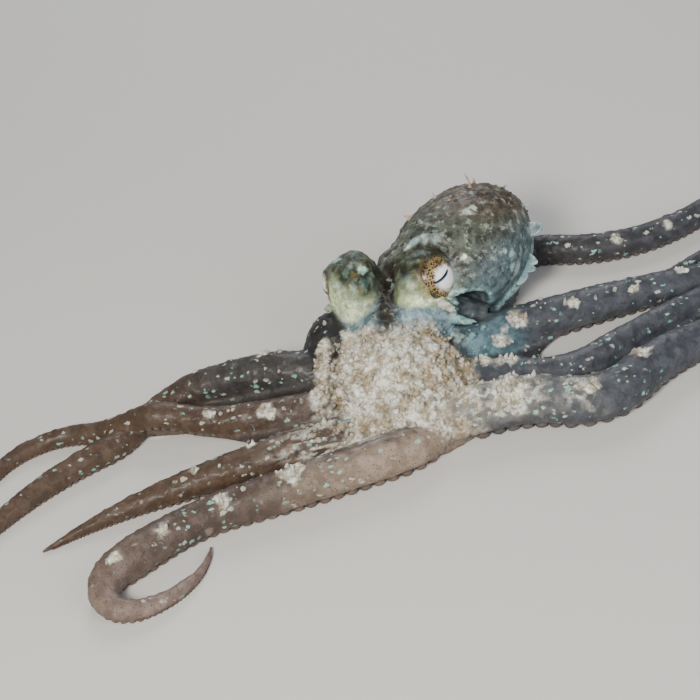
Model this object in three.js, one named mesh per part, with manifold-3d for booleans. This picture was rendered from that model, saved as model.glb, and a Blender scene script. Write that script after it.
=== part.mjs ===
// A small bottom-living octopus resting on a flat floor, life size, in millimetres, +Z up.
// It faces -Y, turned a little towards -X. Its own right arms lie to -X and its left arms to +X.
// Arm 1 of each side is the front one and arm 4 the rear one.
import * as THREE from "three";
import { mergeVertices } from "three/addons/utils/BufferGeometryUtils.js";
import Module from "manifold-3d";

// Driving dimensions
const GAP = 0.3; // the clearance between parts that touch
const FLOOR = 0;
const BOX_CENTRE = [2.35, -4.05]; // middle of the whole animal, which becomes the origin

const ARM_SIDES = 10; // sides of an arm's section
const ARM_STEP = 5.9; // spacing of the sections along an arm
const ARM_TIP_RADIUS = 0.45;
const ROOT_SHARE = 0.6; // thickness of an arm at its root, under the crown
const ROOT_LENGTH = 15; // and how far out it reaches its full thickness
const ARM_SEAT = 0.78; // height of an arm's centreline over the floor, as a share of its half height
const ARM_SPLITS = [0.36, 0.68]; // where each arm is divided, as shares of its length
const ARM_START = 4; // the distance from the root where an arm begins, inside the crown

// Each arm: where its root lies, the heading it leaves on, then its bends as [length, turn in degrees].
// keep is how long the arm stays thick before it tapers: 1 is an even taper.
const ARMS = {
  right_1: {
    root: [8, -15],
    heading: 234,
    radius: 4.6,
    keep: 2.1,
    bends: [[14, -45], [30, -6], [16, 26], [9, 2], [15, 155], [14, 55], [6, 20]],
    swell: { at: 67, by: 0.9, over: 10 },
  },
  right_2: {
    root: [-2, -10],
    heading: 198,
    radius: 4.7,
    keep: 1.7,
    bends: [[25, -17], [22, 6], [23, 15]],
  },
  right_3: {
    root: [-3, -6],
    heading: 167,
    radius: 4.2,
    keep: 1,
    bends: [[36, 0], [24, -8], [20, 71], [18, -50], [17, -60]],
    arch: { at: 45, by: 3.4, over: 8 },
  },
  right_4: {
    root: [-4, 0],
    heading: 136,
    radius: 4.5,
    keep: 1.4,
    bends: [[16, 24], [22, 10], [16, 78], [8, -48], [24, 21], [18, -30], [17, 80]],
    press: { at: 48, to: 0.42, over: 8 },
    arch: { at: 22, by: 1.4, over: 9 },
  },
  left_1: {
    root: [-3, -12],
    heading: -32,
    radius: 5.2,
    keep: 2,
    bends: [[18, 35], [14, -32], [14, 69], [20, -31], [25, 10], [27, -75]],
  },
  left_2: {
    root: [2, -5],
    heading: 12,
    radius: 3.5,
    keep: 2,
    bends: [[22, -38], [14, 54], [30, -9], [24, -24], [22, 45]],
  },
  left_3: {
    root: [4, 0],
    heading: 31,
    radius: 4.8,
    keep: 1.4,
    bends: [[20, -24], [36, -6], [30, 40], [30, -50]],
  },
  left_4: {
    root: [4, 5],
    heading: 48,
    radius: 3.3,
    keep: 3.5,
    bends: [[14, -26], [18, 56], [14, -108], [22, 44], [10, 16], [19, -186], [20, -6], [8, -12]],
  },
};

// The web between neighbouring arms: how far it reaches along them, from their roots
const WEBS = [
  ["left_1", "right_1", 14],
  ["right_1", "right_2", 34],
  ["right_2", "right_3", 40],
  ["right_3", "right_4", 50],
  ["right_4", "left_4", 16],
  ["left_4", "left_3", 34],
  ["left_3", "left_2", 36],
  ["left_2", "left_1", 80],
];
const WEB_START = 2; // the distance from the arms' roots where the web begins
const WEB_EDGE = 1.1; // thickness of the web at its free edge
const WEB_ROOT = 1.5; // its thickness at the arms, as a share of their half height
const WEB_THINNING = 0.4; // how much of that it loses along the arms
const WEB_HOLLOW = 0.3; // how far the free edge curves inwards, as a share of its reach
const WEB_CELLS = 6; // across it
const WEB_STEP = 8; // spacing of its sections along the arms

const FACING = -107; // heading of the head
const HUMP = { centre: [0, -2, 3], radii: [12.2, 13, 10], heading: FACING };
const APRON = { centre: [0, -9.5, 1], radii: [12.5, 14.5, 8], heading: FACING };
const SHOULDER = { centre: [-9, 11.5, 5], radii: [7.5, 8.5, 7.5], heading: 0 };
const HEAD = { centre: [3.8, 12.6, 9.6], radii: [10.5, 11.6, 8.2], heading: FACING };
const NAPE = { centre: [8.3, 17.7, 11.5], radii: [10, 9.5, 8.6], heading: 45 };

const EYE_RADIUS = 5.1;
const EYE_OUT = 0.75; // how far the eyeball sits outwards of its bulge's centre
const EYES = {
  left: { centre: [9.6, 12, 15.9], heading: -49, pitch: 16 },
  right: { centre: [-4.2, 16.1, 15.9], heading: 179, pitch: 24 },
};
const BULGE_RADII = [5.1, 7.2, 6.3]; // along the eye's axis, front to back, upright

const MANTLE = {
  centre: [17.3, 22.2, 12.5],
  heading: 42,
  pitch: 6,
  halfLength: 18,
  radii: [12.8, 11.8],
  egg: 0.05, // how much wider it is towards its far end
};
const MANTLE_SIDES = 18;
const MANTLE_RINGS = 10;
// The opening of the mantle, round the siphon
const OPENING = { centre: [16, 9.6, 8.2], radii: [5.4, 4.2, 4.6], heading: -40 };
// Each papilla of the mantle: its place along the body from -1 to 1, its angle round it, and its length
const PAPILLAE = [
  [0.45, 0, 3],
  [0.25, -40, 2],
  [0.05, -50, 1.8],
  [0.9, 30, 1.4],
  [0.75, 60, 1.8],
  [0.55, 85, 2.8],
  [0.1, 105, 2.8],
  [-0.4, 45, 1],
  [0.4, -88, 2.4],
  [0.7, -60, 1.8],
  [0, -105, 2.2],
];
const PAPILLA_RADII = [0.35, 0.95]; // at the tip and the foot
const PAPILLA_SUNK = 1.2; // how far the foot reaches into the mantle
const PAPILLA_LEAN = 0.8; // how far those near the mantle's ends lean outwards
const PAPILLA_SIDES = 5;

const SIPHON = {
  base: [12, 12.5, 7.4],
  heading: -30,
  pitch: -6,
  length: 9,
  radii: [3.2, 2.5], // at the base and the free end
  bore: 1.5,
  depth: 4,
  sides: 12,
};

const wasm = await Module();
wasm.setup();

// Joining and cutting
function solidOf(geometry) {
  const bare = geometry.clone();
  bare.deleteAttribute("normal");
  bare.deleteAttribute("uv");
  const merged = mergeVertices(bare, 1e-4);
  return new wasm.Manifold(
    new wasm.Mesh({
      numProp: 3,
      vertProperties: new Float32Array(merged.attributes.position.array),
      triVerts: new Uint32Array(merged.index.array),
    }),
  );
}

function geometryOf(solid) {
  const mesh = solid.getMesh();
  const points = new Float32Array(mesh.numVert * 3);
  for (let i = 0; i < mesh.numVert; i++) {
    points.set(mesh.vertProperties.subarray(i * mesh.numProp, i * mesh.numProp + 3), i * 3);
  }
  const geometry = new THREE.BufferGeometry();
  geometry.setAttribute("position", new THREE.BufferAttribute(points, 3));
  geometry.setIndex(new THREE.BufferAttribute(new Uint32Array(mesh.triVerts), 1));
  geometry.computeVertexNormals();
  return geometry;
}

const joined = (solids) => solids.reduce((whole, next) => whole.add(next));
const without = (solid, others) => others.reduce((rest, other) => rest.subtract(other), solid);
const onFloor = (solid) => solid.trimByPlane([0, 0, 1], FLOOR);
const largest = (solid) => solid.decompose().sort((a, b) => b.volume() - a.volume())[0];
const radians = THREE.MathUtils.degToRad;

// The direction with this heading in the floor's plane and this pitch above it
function direction(heading, pitch = 0) {
  const level = Math.cos(radians(pitch));
  const turn = radians(heading);
  return new THREE.Vector3(Math.cos(turn) * level, Math.sin(turn) * level, Math.sin(radians(pitch)));
}

// A frame at the origin given, with Y along the direction, X level and Z upright
function frameAlong(forward, origin) {
  const side = new THREE.Vector3().crossVectors(forward, new THREE.Vector3(0, 0, 1)).normalize();
  const up = new THREE.Vector3().crossVectors(side, forward);
  return new THREE.Matrix4().makeBasis(side, forward, up).setPosition(...origin);
}

// An ellipsoid with radii along its heading, across it and upright
function ellipsoid({ centre, radii, heading, pitch = 0, around = 14, down = 9 }, grow = 0) {
  const shape = new THREE.SphereGeometry(1, around, down);
  shape.rotateX(Math.PI / 2);
  shape.scale(radii[1] + grow, radii[0] + grow, radii[2] + grow);
  shape.applyMatrix4(frameAlong(direction(heading, pitch), centre));
  return solidOf(shape);
}

// Arms
const armTotal = (arm) => arm.bends.reduce((sum, [length]) => sum + length, 0);
const bump = (s, { at, over }) => Math.exp(-(((s - at) / over) ** 2));

// Where the arm's centreline is, and its heading, at the distance s from the root
function armAt(arm, s) {
  let [x, y] = arm.root;
  let heading = radians(arm.heading);
  let left = Math.min(s, armTotal(arm));
  for (const [length, turn] of arm.bends) {
    const run = Math.min(left, length);
    const bend = radians(turn) * (run / length);
    const chord = Math.abs(bend) < 1e-6 ? run : (2 * run * Math.sin(bend / 2)) / bend;
    x += chord * Math.cos(heading + bend / 2);
    y += chord * Math.sin(heading + bend / 2);
    heading += bend;
    left -= run;
    if (left <= 0) break;
  }
  const beyond = Math.max(s - armTotal(arm), 0);
  return { x: x + beyond * Math.cos(heading), y: y + beyond * Math.sin(heading), heading };
}

function armRadius(arm, s) {
  const rooted = THREE.MathUtils.lerp(ROOT_SHARE, 1, THREE.MathUtils.smoothstep(s, 0, ROOT_LENGTH));
  const taper = Math.max(1 - (s / armTotal(arm)) ** arm.keep, 0);
  const swell = arm.swell ? arm.swell.by * bump(s, arm.swell) : 0;
  return ARM_TIP_RADIUS + (arm.radius * rooted - ARM_TIP_RADIUS) * taper + swell;
}

// Half the height of an arm: pressed flat where another arm crosses over it
function armHeight(arm, s) {
  const press = arm.press ? 1 - (1 - arm.press.to) * bump(s, arm.press) : 1;
  return armRadius(arm, s) * press;
}

// How far an arm is raised where it crosses over another one
function armLift(arm, s) {
  return arm.arch ? arm.arch.by * bump(s, arm.arch) : 0;
}

// One length of an arm: a lathed rod, bent along the arm's path, tapered, and pressed flat on the floor
function armLength(arm, from, to, grow = 0) {
  const steps = Math.max(2, Math.round((to - from) / ARM_STEP));
  const ring = (i) => from - grow + ((to - from + 2 * grow) * i) / steps;
  const profile = [new THREE.Vector2(0, ring(0))];
  for (let i = 0; i <= steps; i++) profile.push(new THREE.Vector2(1, ring(i)));
  profile.push(new THREE.Vector2(0, ring(steps)));
  const shape = new THREE.LatheGeometry(profile, ARM_SIDES);
  const points = shape.attributes.position;
  const lowest = FLOOR - 2 * grow;
  for (let i = 0; i < points.count; i++) {
    const s = points.getY(i);
    const { x, y, heading } = armAt(arm, s);
    const across = points.getX(i) * (armRadius(arm, s) + grow);
    const upward = points.getZ(i) * (armHeight(arm, s) + grow);
    const z = armHeight(arm, s) * ARM_SEAT + armLift(arm, s) + upward;
    points.setXYZ(i, x + across * Math.sin(heading), y - across * Math.cos(heading), Math.max(z, lowest));
  }
  return solidOf(shape);
}

// The web between two arms: a wedge on the floor, thick at the crown and thin at its curved free edge
function web(armA, armB, reach) {
  const shape = new THREE.BoxGeometry(1, 1, 1, WEB_CELLS, Math.ceil(reach / WEB_STEP), 1);
  const points = shape.attributes.position;
  for (let i = 0; i < points.count; i++) {
    const across = points.getX(i) + 0.5;
    const along = points.getY(i) + 0.5;
    const hollow = 1 - WEB_HOLLOW * Math.sin(Math.PI * across);
    const s = WEB_START + (reach * hollow - WEB_START) * along;
    const a = armAt(armA, s);
    const b = armAt(armB, s);
    const high = THREE.MathUtils.lerp(armHeight(armA, s), armHeight(armB, s), across) * WEB_ROOT;
    const sag = Math.sin(Math.PI * across) * along + along ** 3 * WEB_THINNING;
    const top = THREE.MathUtils.lerp(high, WEB_EDGE, Math.min(sag, 1));
    points.setXYZ(
      i,
      THREE.MathUtils.lerp(a.x, b.x, across),
      THREE.MathUtils.lerp(a.y, b.y, across),
      points.getZ(i) > 0 ? top : FLOOR,
    );
  }
  return solidOf(shape);
}

// The mantle: a lathed egg along its axis, a little wider than high
const mantleFrame = (pose) => frameAlong(direction(pose.heading, pose.pitch), pose.centre);
function mantleRing(along) {
  return Math.sqrt(Math.max(1 - along * along, 0)) * (1 + MANTLE.egg * along);
}

function mantleBody(grow = 0) {
  const profile = [];
  for (let i = 0; i <= MANTLE_RINGS; i++) {
    const along = -Math.cos((Math.PI * i) / MANTLE_RINGS);
    profile.push(new THREE.Vector2(mantleRing(along), along * (MANTLE.halfLength + grow)));
  }
  profile[0].x = 0;
  profile[MANTLE_RINGS].x = 0;
  const shape = new THREE.LatheGeometry(profile, MANTLE_SIDES);
  shape.scale(MANTLE.radii[0] + grow, 1, MANTLE.radii[1] + grow);
  shape.applyMatrix4(mantleFrame(MANTLE));
  return solidOf(shape);
}

function papilla([along, around, length]) {
  const turn = radians(around);
  const ring = mantleRing(along);
  const foot = new THREE.Vector3(
    Math.sin(turn) * ring * MANTLE.radii[0],
    along * MANTLE.halfLength,
    Math.cos(turn) * ring * MANTLE.radii[1],
  );
  const out = new THREE.Vector3(Math.sin(turn) * ring, along * PAPILLA_LEAN, Math.cos(turn) * ring);
  out.normalize();
  const [tip, wide] = PAPILLA_RADII;
  const shape = new THREE.CylinderGeometry(tip, wide, length + PAPILLA_SUNK, PAPILLA_SIDES);
  shape.translate(0, (length - PAPILLA_SUNK) / 2, 0);
  shape.applyQuaternion(new THREE.Quaternion().setFromUnitVectors(new THREE.Vector3(0, 1, 0), out));
  shape.translate(...foot);
  shape.applyMatrix4(mantleFrame(MANTLE));
  return solidOf(shape);
}

// The siphon: a tapered tube of muscle with its bore open at the free end
function siphonLathe(outline) {
  const profile = outline.map(([radius, along]) => new THREE.Vector2(radius, along));
  const shape = new THREE.LatheGeometry(profile, SIPHON.sides);
  shape.applyMatrix4(frameAlong(direction(SIPHON.heading, SIPHON.pitch), SIPHON.base));
  return solidOf(shape);
}

function siphonTube() {
  const { length, radii, bore, depth } = SIPHON;
  const floor = length - depth;
  return siphonLathe([
    [0, 0],
    [radii[0], 0],
    [radii[1], length],
    [bore, length],
    [bore, floor],
    [0, floor],
  ]);
}

// The room that the siphon takes among its neighbours
function siphonSpace() {
  const { length, radii } = SIPHON;
  return siphonLathe([
    [0, -GAP],
    [radii[0] + GAP, -GAP],
    [radii[1] + GAP, length + GAP],
    [0, length + GAP],
  ]);
}

// The eyes and the bulges that they sit in
function eyeball(eye, grow = 0) {
  const centre = new THREE.Vector3(...eye.centre);
  centre.addScaledVector(direction(eye.heading, eye.pitch), EYE_OUT);
  const radii = [EYE_RADIUS, EYE_RADIUS, EYE_RADIUS];
  return ellipsoid({ ...eye, centre: centre.toArray(), radii }, grow);
}

const bulge = (eye, grow) => ellipsoid({ ...eye, radii: BULGE_RADII }, grow);

const group = new THREE.Group();
group.position.set(-BOX_CENTRE[0], -BOX_CENTRE[1], 0);

function addPart(name, solid, colour, roughness) {
  const material = new THREE.MeshStandardMaterial({ color: colour, roughness, metalness: 0 });
  const mesh = new THREE.Mesh(geometryOf(largest(solid)), material);
  mesh.name = name;
  group.add(mesh);
}

const FLESH = "#6f6562";
const SKIN_PALE = "#c8c6b6";
const SKIN_MOTTLED = "#6b6f63";
const MUSCLE = "#55585a";
const IRIS = "#8f7b52";

function head(grow) {
  return joined([
    ellipsoid(HEAD, grow),
    ellipsoid(NAPE, grow),
    bulge(EYES.left, grow),
    bulge(EYES.right, grow),
  ]);
}

const dome = (grow) => joined([HUMP, APRON, SHOULDER].map((shape) => ellipsoid(shape, grow)));
const eyes = Object.values(EYES).map((eye) => eyeball(eye, GAP));
const opening = ellipsoid(OPENING);

addPart("siphon", without(siphonTube(), [mantleBody(GAP).subtract(opening)]), MUSCLE, 0.4);
addPart("head", onFloor(without(head(0), [siphonSpace(), ...eyes])), SKIN_MOTTLED, 0.5);
for (const [side, eye] of Object.entries(EYES)) {
  addPart(`eye_${side}`, eyeball(eye), IRIS, 0.12);
}

const cutters = [dome(GAP), head(GAP), siphonSpace()];
const rooms = {}; // the room that each whole arm takes
for (const [name, arm] of Object.entries(ARMS)) {
  const whole = armTotal(arm);
  const splits = [ARM_START, ...ARM_SPLITS.map((share) => share * whole), whole];
  const lengths = ["base", "middle", "tip"].map((part, i) => {
    const from = splits[i] + (i > 0 ? GAP / 2 : 0);
    const to = splits[i + 1] - (i < 2 ? GAP / 2 : 0);
    return { part, solid: armLength(arm, from, to), room: armLength(arm, from, to, GAP) };
  });
  const neighbours = Object.values(rooms);
  for (const { part, solid } of lengths) {
    const clear = onFloor(without(solid, [...cutters, ...neighbours]));
    addPart(`arm_${name}_${part}`, clear, FLESH, 0.45);
  }
  rooms[name] = joined(lengths.map(({ room }) => room));
}

const webs = WEBS.map(([a, b, reach]) => web(ARMS[a], ARMS[b], reach));
const webbed = without(joined(webs), Object.values(rooms));
const crown = without(joined([dome(0), webbed]), [head(GAP), siphonSpace()]);
addPart("arm_crown", onFloor(crown), SKIN_PALE, 0.6);

const sack = joined([mantleBody(), ...PAPILLAE.map(papilla)]);
const crownSpace = joined([dome(GAP), ...webs]);
const round = [opening, head(GAP), siphonSpace(), ...eyes, crownSpace, ...Object.values(rooms)];
addPart("mantle", onFloor(without(sack, round)), SKIN_MOTTLED, 0.5);

export default group;
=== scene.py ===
import math
import bmesh
import bpy
import numpy as np
from mathutils import Matrix, Vector, noise
from mathutils.kdtree import KDTree


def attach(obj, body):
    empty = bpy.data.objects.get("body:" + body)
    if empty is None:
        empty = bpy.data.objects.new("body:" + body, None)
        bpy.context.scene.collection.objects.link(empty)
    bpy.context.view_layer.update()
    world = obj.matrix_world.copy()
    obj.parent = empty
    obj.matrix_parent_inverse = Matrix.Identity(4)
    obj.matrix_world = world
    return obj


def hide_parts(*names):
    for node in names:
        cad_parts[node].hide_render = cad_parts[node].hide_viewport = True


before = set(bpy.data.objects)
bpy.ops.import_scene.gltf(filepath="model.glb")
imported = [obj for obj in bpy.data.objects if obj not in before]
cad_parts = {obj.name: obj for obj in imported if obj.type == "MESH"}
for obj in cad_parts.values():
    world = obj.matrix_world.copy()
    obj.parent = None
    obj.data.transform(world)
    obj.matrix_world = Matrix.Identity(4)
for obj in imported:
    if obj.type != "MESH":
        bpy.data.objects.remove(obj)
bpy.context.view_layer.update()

# ---------------------------------------------------------------------------------------------
# The skin: one soft wet hide over mantle, head, crown, web, siphon and all eight arms, grown in
# one piece over muscle. It is built in millimetres from closed forms that a remesh melts into
# one surface, which is then creased, folded and lidded, and turned to metres at the end.

MIDDLE = (2.35, -4.05)  # the middle of the whole animal, which is the frame's origin
# The arms: where the root lies, which way it sets off in degrees, half the width there, how long
# that width is kept, and the line's bends as (length, turn). Some swell out, are pressed flat or
# arch over a neighbour, each as (distance out, how much, over what length)
ARMS = {
    "right_1": dict(root=(8, -15), heading=234, radius=4.6, keep=2.1, swell=(67, 0.9, 10),
                    bends=[(14, -45), (30, -6), (16, 26), (9, 2), (15, 155), (14, 55), (6, 20)]),
    "right_2": dict(root=(-2, -10), heading=198, radius=4.7, keep=1.7,
                    bends=[(25, -17), (22, 6), (23, 15)]),
    "right_3": dict(root=(-3, -6), heading=167, radius=4.2, keep=1, arch=(45, 3.4, 8),
                    bends=[(36, 0), (24, -8), (20, 71), (18, -50), (17, -60)]),
    "right_4": dict(root=(-4, 0), heading=136, radius=4.5, keep=1.4, press=(48, 0.42, 8), arch=(22, 1.4, 9),
                    bends=[(16, 24), (22, 10), (16, 78), (8, -48), (24, 21), (18, -30), (17, 80)]),
    "left_1": dict(root=(-3, -12), heading=-32, radius=5.2, keep=2,
                   bends=[(18, 35), (14, -32), (14, 69), (20, -31), (25, 10), (27, -75)]),
    "left_2": dict(root=(2, -5), heading=12, radius=3.5, keep=2,
                   bends=[(22, -38), (14, 54), (30, -9), (24, -24), (22, 45)]),
    "left_3": dict(root=(4, 0), heading=31, radius=4.8, keep=1.4,
                   bends=[(20, -24), (36, -6), (30, 40), (30, -50)]),
    "left_4": dict(root=(4, 5), heading=48, radius=3.3, keep=3.5,
                   bends=[(14, -26), (18, 56), (14, -108), (22, 44), (10, 16), (19, -186),
                          (20, -6), (8, -12)]),
}
ARM_TIP = 0.45  # half the width of an arm's tip
ARM_SEAT = 0.78  # height of an arm's centreline, as a share of its half height
ARM_SLIM = 0.98  # the skin's arms are this much slimmer than the solids
# The webs: the two arms that each joins, and how far out it reaches
WEBS = [("left_1", "right_1", 14), ("right_1", "right_2", 34), ("right_2", "right_3", 40),
        ("right_3", "right_4", 50), ("right_4", "left_4", 16), ("left_4", "left_3", 34),
        ("left_3", "left_2", 36), ("left_2", "left_1", 80)]
# Patches of cream crust on the arms: the arm, how far out, how far to its left, and the radius
PATCHES = [("left_1", 14.5, 0.1, 2.6), ("left_1", 22.5, -0.45, 3.1), ("left_1", 37, -0.2, 1.9),
           ("left_1", 49.5, 0.1, 1.5), ("left_2", 18, 0.3, 2.0), ("left_2", 14.5, 0.1, 1.4),
           ("left_3", 22, -0.5, 1.7), ("left_3", 17, -0.93, 1.8), ("left_3", 32.4, -0.5, 1.1),
           ("left_3", 45.4, -0.5, 0.9), ("left_3", 55, 0, 0.9), ("right_1", 33.4, 0, 2.3),
           ("right_1", 47, 0.26, 1.4), ("right_1", 59, 0.45, 1.5), ("right_1", 68.8, 0.27, 1.1),
           ("right_2", 28, -0.3, 0.9), ("right_2", 39, 0.1, 0.9), ("right_3", 23, 0.45, 1.6),
           ("right_3", 34, 0.4, 0.9), ("right_4", 24, -0.4, 1.5), ("left_4", 58.4, -0.5, 0.9),
           ("left_4", 69, -0.5, 1.0)]
# Single round mirror spots: where, the radius and the colour
PALE_SPOTS = [((-1.8, 12.7, 20.8), 0.85, "#a9cdbd"), ((17.5, 11.2, 19), 0.55, "#e6eae4"),
              ((20.4, 19.5, 23.4), 0.9, "#b4bcac"), ((21.8, 20.5, 23.4), 0.7, "#c3c9ba"),
              ((25.6, 13.9, 16.5), 0.6, "#a9c9c4"), ((26.3, 13.6, 12.3), 0.7, "#9ec4c6"),
              ((26.7, 14.3, 14.6), 0.9, "#93acae"), ((27.4, 14.8, 11.2), 1.1, "#98a9ac"),
              ((14, 8.7, 11.6), 1.1, "#86a9b2")]
# The soft forms of the body, each a ball stretched to its radii and turned to its heading: the
# crown and its front slope, the web's raised shoulder, the head and its nape
HUMP = dict(centre=(0, -2, 3), radii=(12.2, 13, 10), heading=-107)
APRON = dict(centre=(0, -9.5, 1), radii=(12.5, 14.5, 8), heading=-107)
SHOULDER = dict(centre=(-9, 11.5, 5), radii=(7.5, 8.5, 7.5), heading=0)
HEAD = dict(centre=(3.8, 12.6, 9.6), radii=(10.5, 11.6, 8.2), heading=-107)
NAPE = dict(centre=(8.3, 17.7, 11.5), radii=(10, 9.5, 8.6), heading=45)
CROWN, FACE = (HUMP, APRON), (HEAD, NAPE)
# The eyes: the bulge's middle and which way it bulges, which way the ball looks, which way the
# lids open, and half the opening's angle across and upright. Angles are (heading, pitch).
EYES = {"left": dict(centre=(9.6, 12, 15.9), heading=-49, pitch=16, gaze=(-57, 23), slot=(-52, 20),
                     lids=(45, 59)),
        "right": dict(centre=(-4.2, 16.1, 15.9), heading=179, pitch=24, gaze=(186, 8), slot=(186, 6),
                      lids=(31, 36))}
BULGES = [dict(eye, radii=(5.1, 7.2, 6.3)) for eye in EYES.values()]
EYE_RADIUS = 5.1
EYE_OUT = 0.75  # how far the ball stands out from the bulge's middle
MANTLE = dict(centre=(17.3, 22.2, 12.5), radii=(18, 12.8, 11.8), heading=42, pitch=6, egg=0.05)
OPENING = dict(centre=(16, 9.6, 8.2), radii=(5.4, 4.2, 4.6), heading=-40)
SIPHON = dict(base=(12, 12.5, 7.4), heading=-30, pitch=-6, length=9, radii=(3.2, 2.5), bore=1.5)
WALL = 0.35  # how far the mantle's skin lies inside its solid
INSET = 0.12  # how far the rest of the skin lies inside the solids
SOLE = 0.24  # height of the suckers under an arm, as a share of its half width
VOXEL = 0.3  # the remesh's step
SKIN_TRIANGLES = 190000


def bump(s, hill):
    """1 at the hill's place, falling to 0 over its width. The hill is (place, height, width)."""
    return np.exp(-(((s - hill[0]) / hill[2]) ** 2))


def smooth(value, low, high):
    """0 below low, 1 above high and an S-curve between."""
    t = np.clip((value - low) / (high - low), 0, 1)
    return t * t * (3 - 2 * t)


def arm_total(arm):
    return sum(length for length, turn in arm["bends"])


def arm_line(arm, s):
    """The arm's centreline at the distances s from its root: x, y and heading."""
    s = np.asarray(s, float)
    x = np.full(s.shape, float(arm["root"][0]))
    y = np.full(s.shape, float(arm["root"][1]))
    start, begun = math.radians(arm["heading"]), 0.0
    heading = np.full(s.shape, start)
    for length, turn in arm["bends"]:
        run = np.clip(s - begun, 0, length)
        bend = math.radians(turn) * run / length
        chord = run * np.sinc(bend / 2 / math.pi)
        x += chord * np.cos(start + bend / 2)
        y += chord * np.sin(start + bend / 2)
        heading += bend
        start += math.radians(turn)
        begun += length
    return x, y, heading


def arm_size(arm, s):
    """Half the width and half the height of the arm, and how far it is lifted, at the distances s."""
    total = arm_total(arm)
    rooted = 0.6 + 0.4 * smooth(s, 0, 15)
    taper = np.clip(1 - np.clip(s / total, 0, 1) ** arm["keep"], 0, 1)
    wide = ARM_TIP + (arm["radius"] * rooted - ARM_TIP) * taper
    if "swell" in arm:
        wide = wide + arm["swell"][1] * bump(s, arm["swell"])
    high = wide
    if "press" in arm:
        high = wide * (1 - (1 - arm["press"][1]) * bump(s, arm["press"]))
    lift = arm["arch"][1] * bump(s, arm["arch"]) if "arch" in arm else np.zeros_like(wide)
    return wide, high, lift


def towards(heading, pitch=0):
    level = math.cos(math.radians(pitch))
    return Vector((math.cos(math.radians(heading)) * level, math.sin(math.radians(heading)) * level,
                   math.sin(math.radians(pitch))))


def frame_along(heading, pitch, centre):
    """A frame at the centre with X along the heading, Y level to its left and Z upright."""
    forward = towards(heading, pitch)
    left = Vector((0, 0, 1)).cross(forward).normalized()
    turned = Matrix((forward, left, forward.cross(left))).transposed().to_4x4()
    return Matrix.Translation(Vector(centre)) @ turned


def ellipsoid(shape, inset=INSET):
    """A ball stretched to the shape's radii, wider towards its far end by the shape's egg."""
    bm = bmesh.new()
    bmesh.ops.create_uvsphere(bm, u_segments=56, v_segments=36, radius=1)
    place = frame_along(shape["heading"], shape.get("pitch", 0), shape["centre"])
    for v in bm.verts:
        wider = 1 + shape.get("egg", 0) * v.co.x
        radii = [radius - inset for radius in shape["radii"]]
        v.co = place @ Vector((v.co.x * radii[0], v.co.y * radii[1] * wider, v.co.z * radii[2] * wider))
    return bm


def moved(bm, place):
    """Moves all the shape's vertices at once: place takes their coordinates, a row for each."""
    places = place(np.array([v.co[:] for v in bm.verts]))
    for v, at in zip(bm.verts, places):
        v.co = at
    return bm


def arm_rod(arm):
    """An arm: a capped rod, cut into rings, bent along its line and set down on its suckers."""
    total = arm_total(arm)
    bm = bmesh.new()
    bmesh.ops.create_cone(bm, cap_ends=True, segments=28, radius1=1, radius2=1, depth=1)
    sides = [e for e in bm.edges if abs(e.verts[0].co.z - e.verts[1].co.z) > 0.5]
    bmesh.ops.subdivide_edges(bm, edges=sides, cuts=int(total))

    def bent(at):
        s = (at[:, 2] + 0.5) * total
        x, y, heading = arm_line(arm, s)
        wide, high, lift = arm_size(arm, s)
        z = high * ARM_SEAT + lift + at[:, 1] * (ARM_SLIM * high - INSET)
        z = np.maximum(z, lift + SOLE * high)
        side = at[:, 0] * (ARM_SLIM * wide - INSET)
        return np.column_stack([x + side * np.sin(heading), y - side * np.cos(heading), z])

    return moved(bm, bent)


def web_sheet(one, two, reach):
    """The web between two arms: a slab, thick at the crown and thin at its hollow free edge."""
    thick, thin, underside = 1.5, 1.1, 0.3
    bm = bmesh.new()
    bmesh.ops.create_cube(bm, size=1)
    bmesh.ops.subdivide_edges(bm, edges=bm.edges[:], cuts=20, use_grid_fill=True)

    def spread(at):
        across, along, top = (at + 0.5).T
        s = 2 + (reach * (1 - 0.3 * np.sin(math.pi * across)) - 2) * along
        ax, ay, _ = arm_line(one, s)
        bx, by, _ = arm_line(two, s)
        high = thick * (arm_size(one, s)[1] * (1 - across) + arm_size(two, s)[1] * across)
        sag = np.minimum(np.sin(math.pi * across) * along + 0.4 * along ** 3, 1)
        upper = high + (thin - high) * sag - INSET
        z = underside + (upper - underside) * top
        return np.column_stack([ax + (bx - ax) * across, ay + (by - ay) * across, z])

    return moved(bm, spread)


def siphon_tube():
    """The siphon: a disc extruded to a tapered tube, with its bore sunk in the free end."""
    wide, narrow = SIPHON["radii"]
    bore, length = SIPHON["bore"], SIPHON["length"]
    rings = [(wide, length * 0.4), (narrow, length - 0.5), (narrow - 0.3, length),
             (bore + 0.3, length), (bore, length - 0.6), (bore * 0.8, length - 4)]
    bm = bmesh.new()
    bmesh.ops.create_circle(bm, cap_ends=True, segments=32, radius=wide)
    faces = bm.faces[:]
    for number, (radius, along) in enumerate(rings):
        made = bmesh.ops.extrude_face_region(bm, geom=faces)["geom"]
        if number:  # the first disc stays, as the tube's closed root
            bmesh.ops.delete(bm, geom=faces, context="FACES_ONLY")
        faces = [g for g in made if isinstance(g, bmesh.types.BMFace)]
        for v in faces[0].verts:
            v.co = Vector((v.co.x, v.co.y, 0)).normalized() * radius + Vector((0, 0, along))
    place = frame_along(SIPHON["heading"], SIPHON["pitch"], SIPHON["base"])
    bm.transform(place @ Matrix.Rotation(math.pi / 2, 4, "Y"))
    return bm


def linked(name, data):
    """A new object of the mesh, lamp or camera, in the scene."""
    made = bpy.data.objects.new(name, data)
    bpy.context.scene.collection.objects.link(made)
    return made


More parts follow.
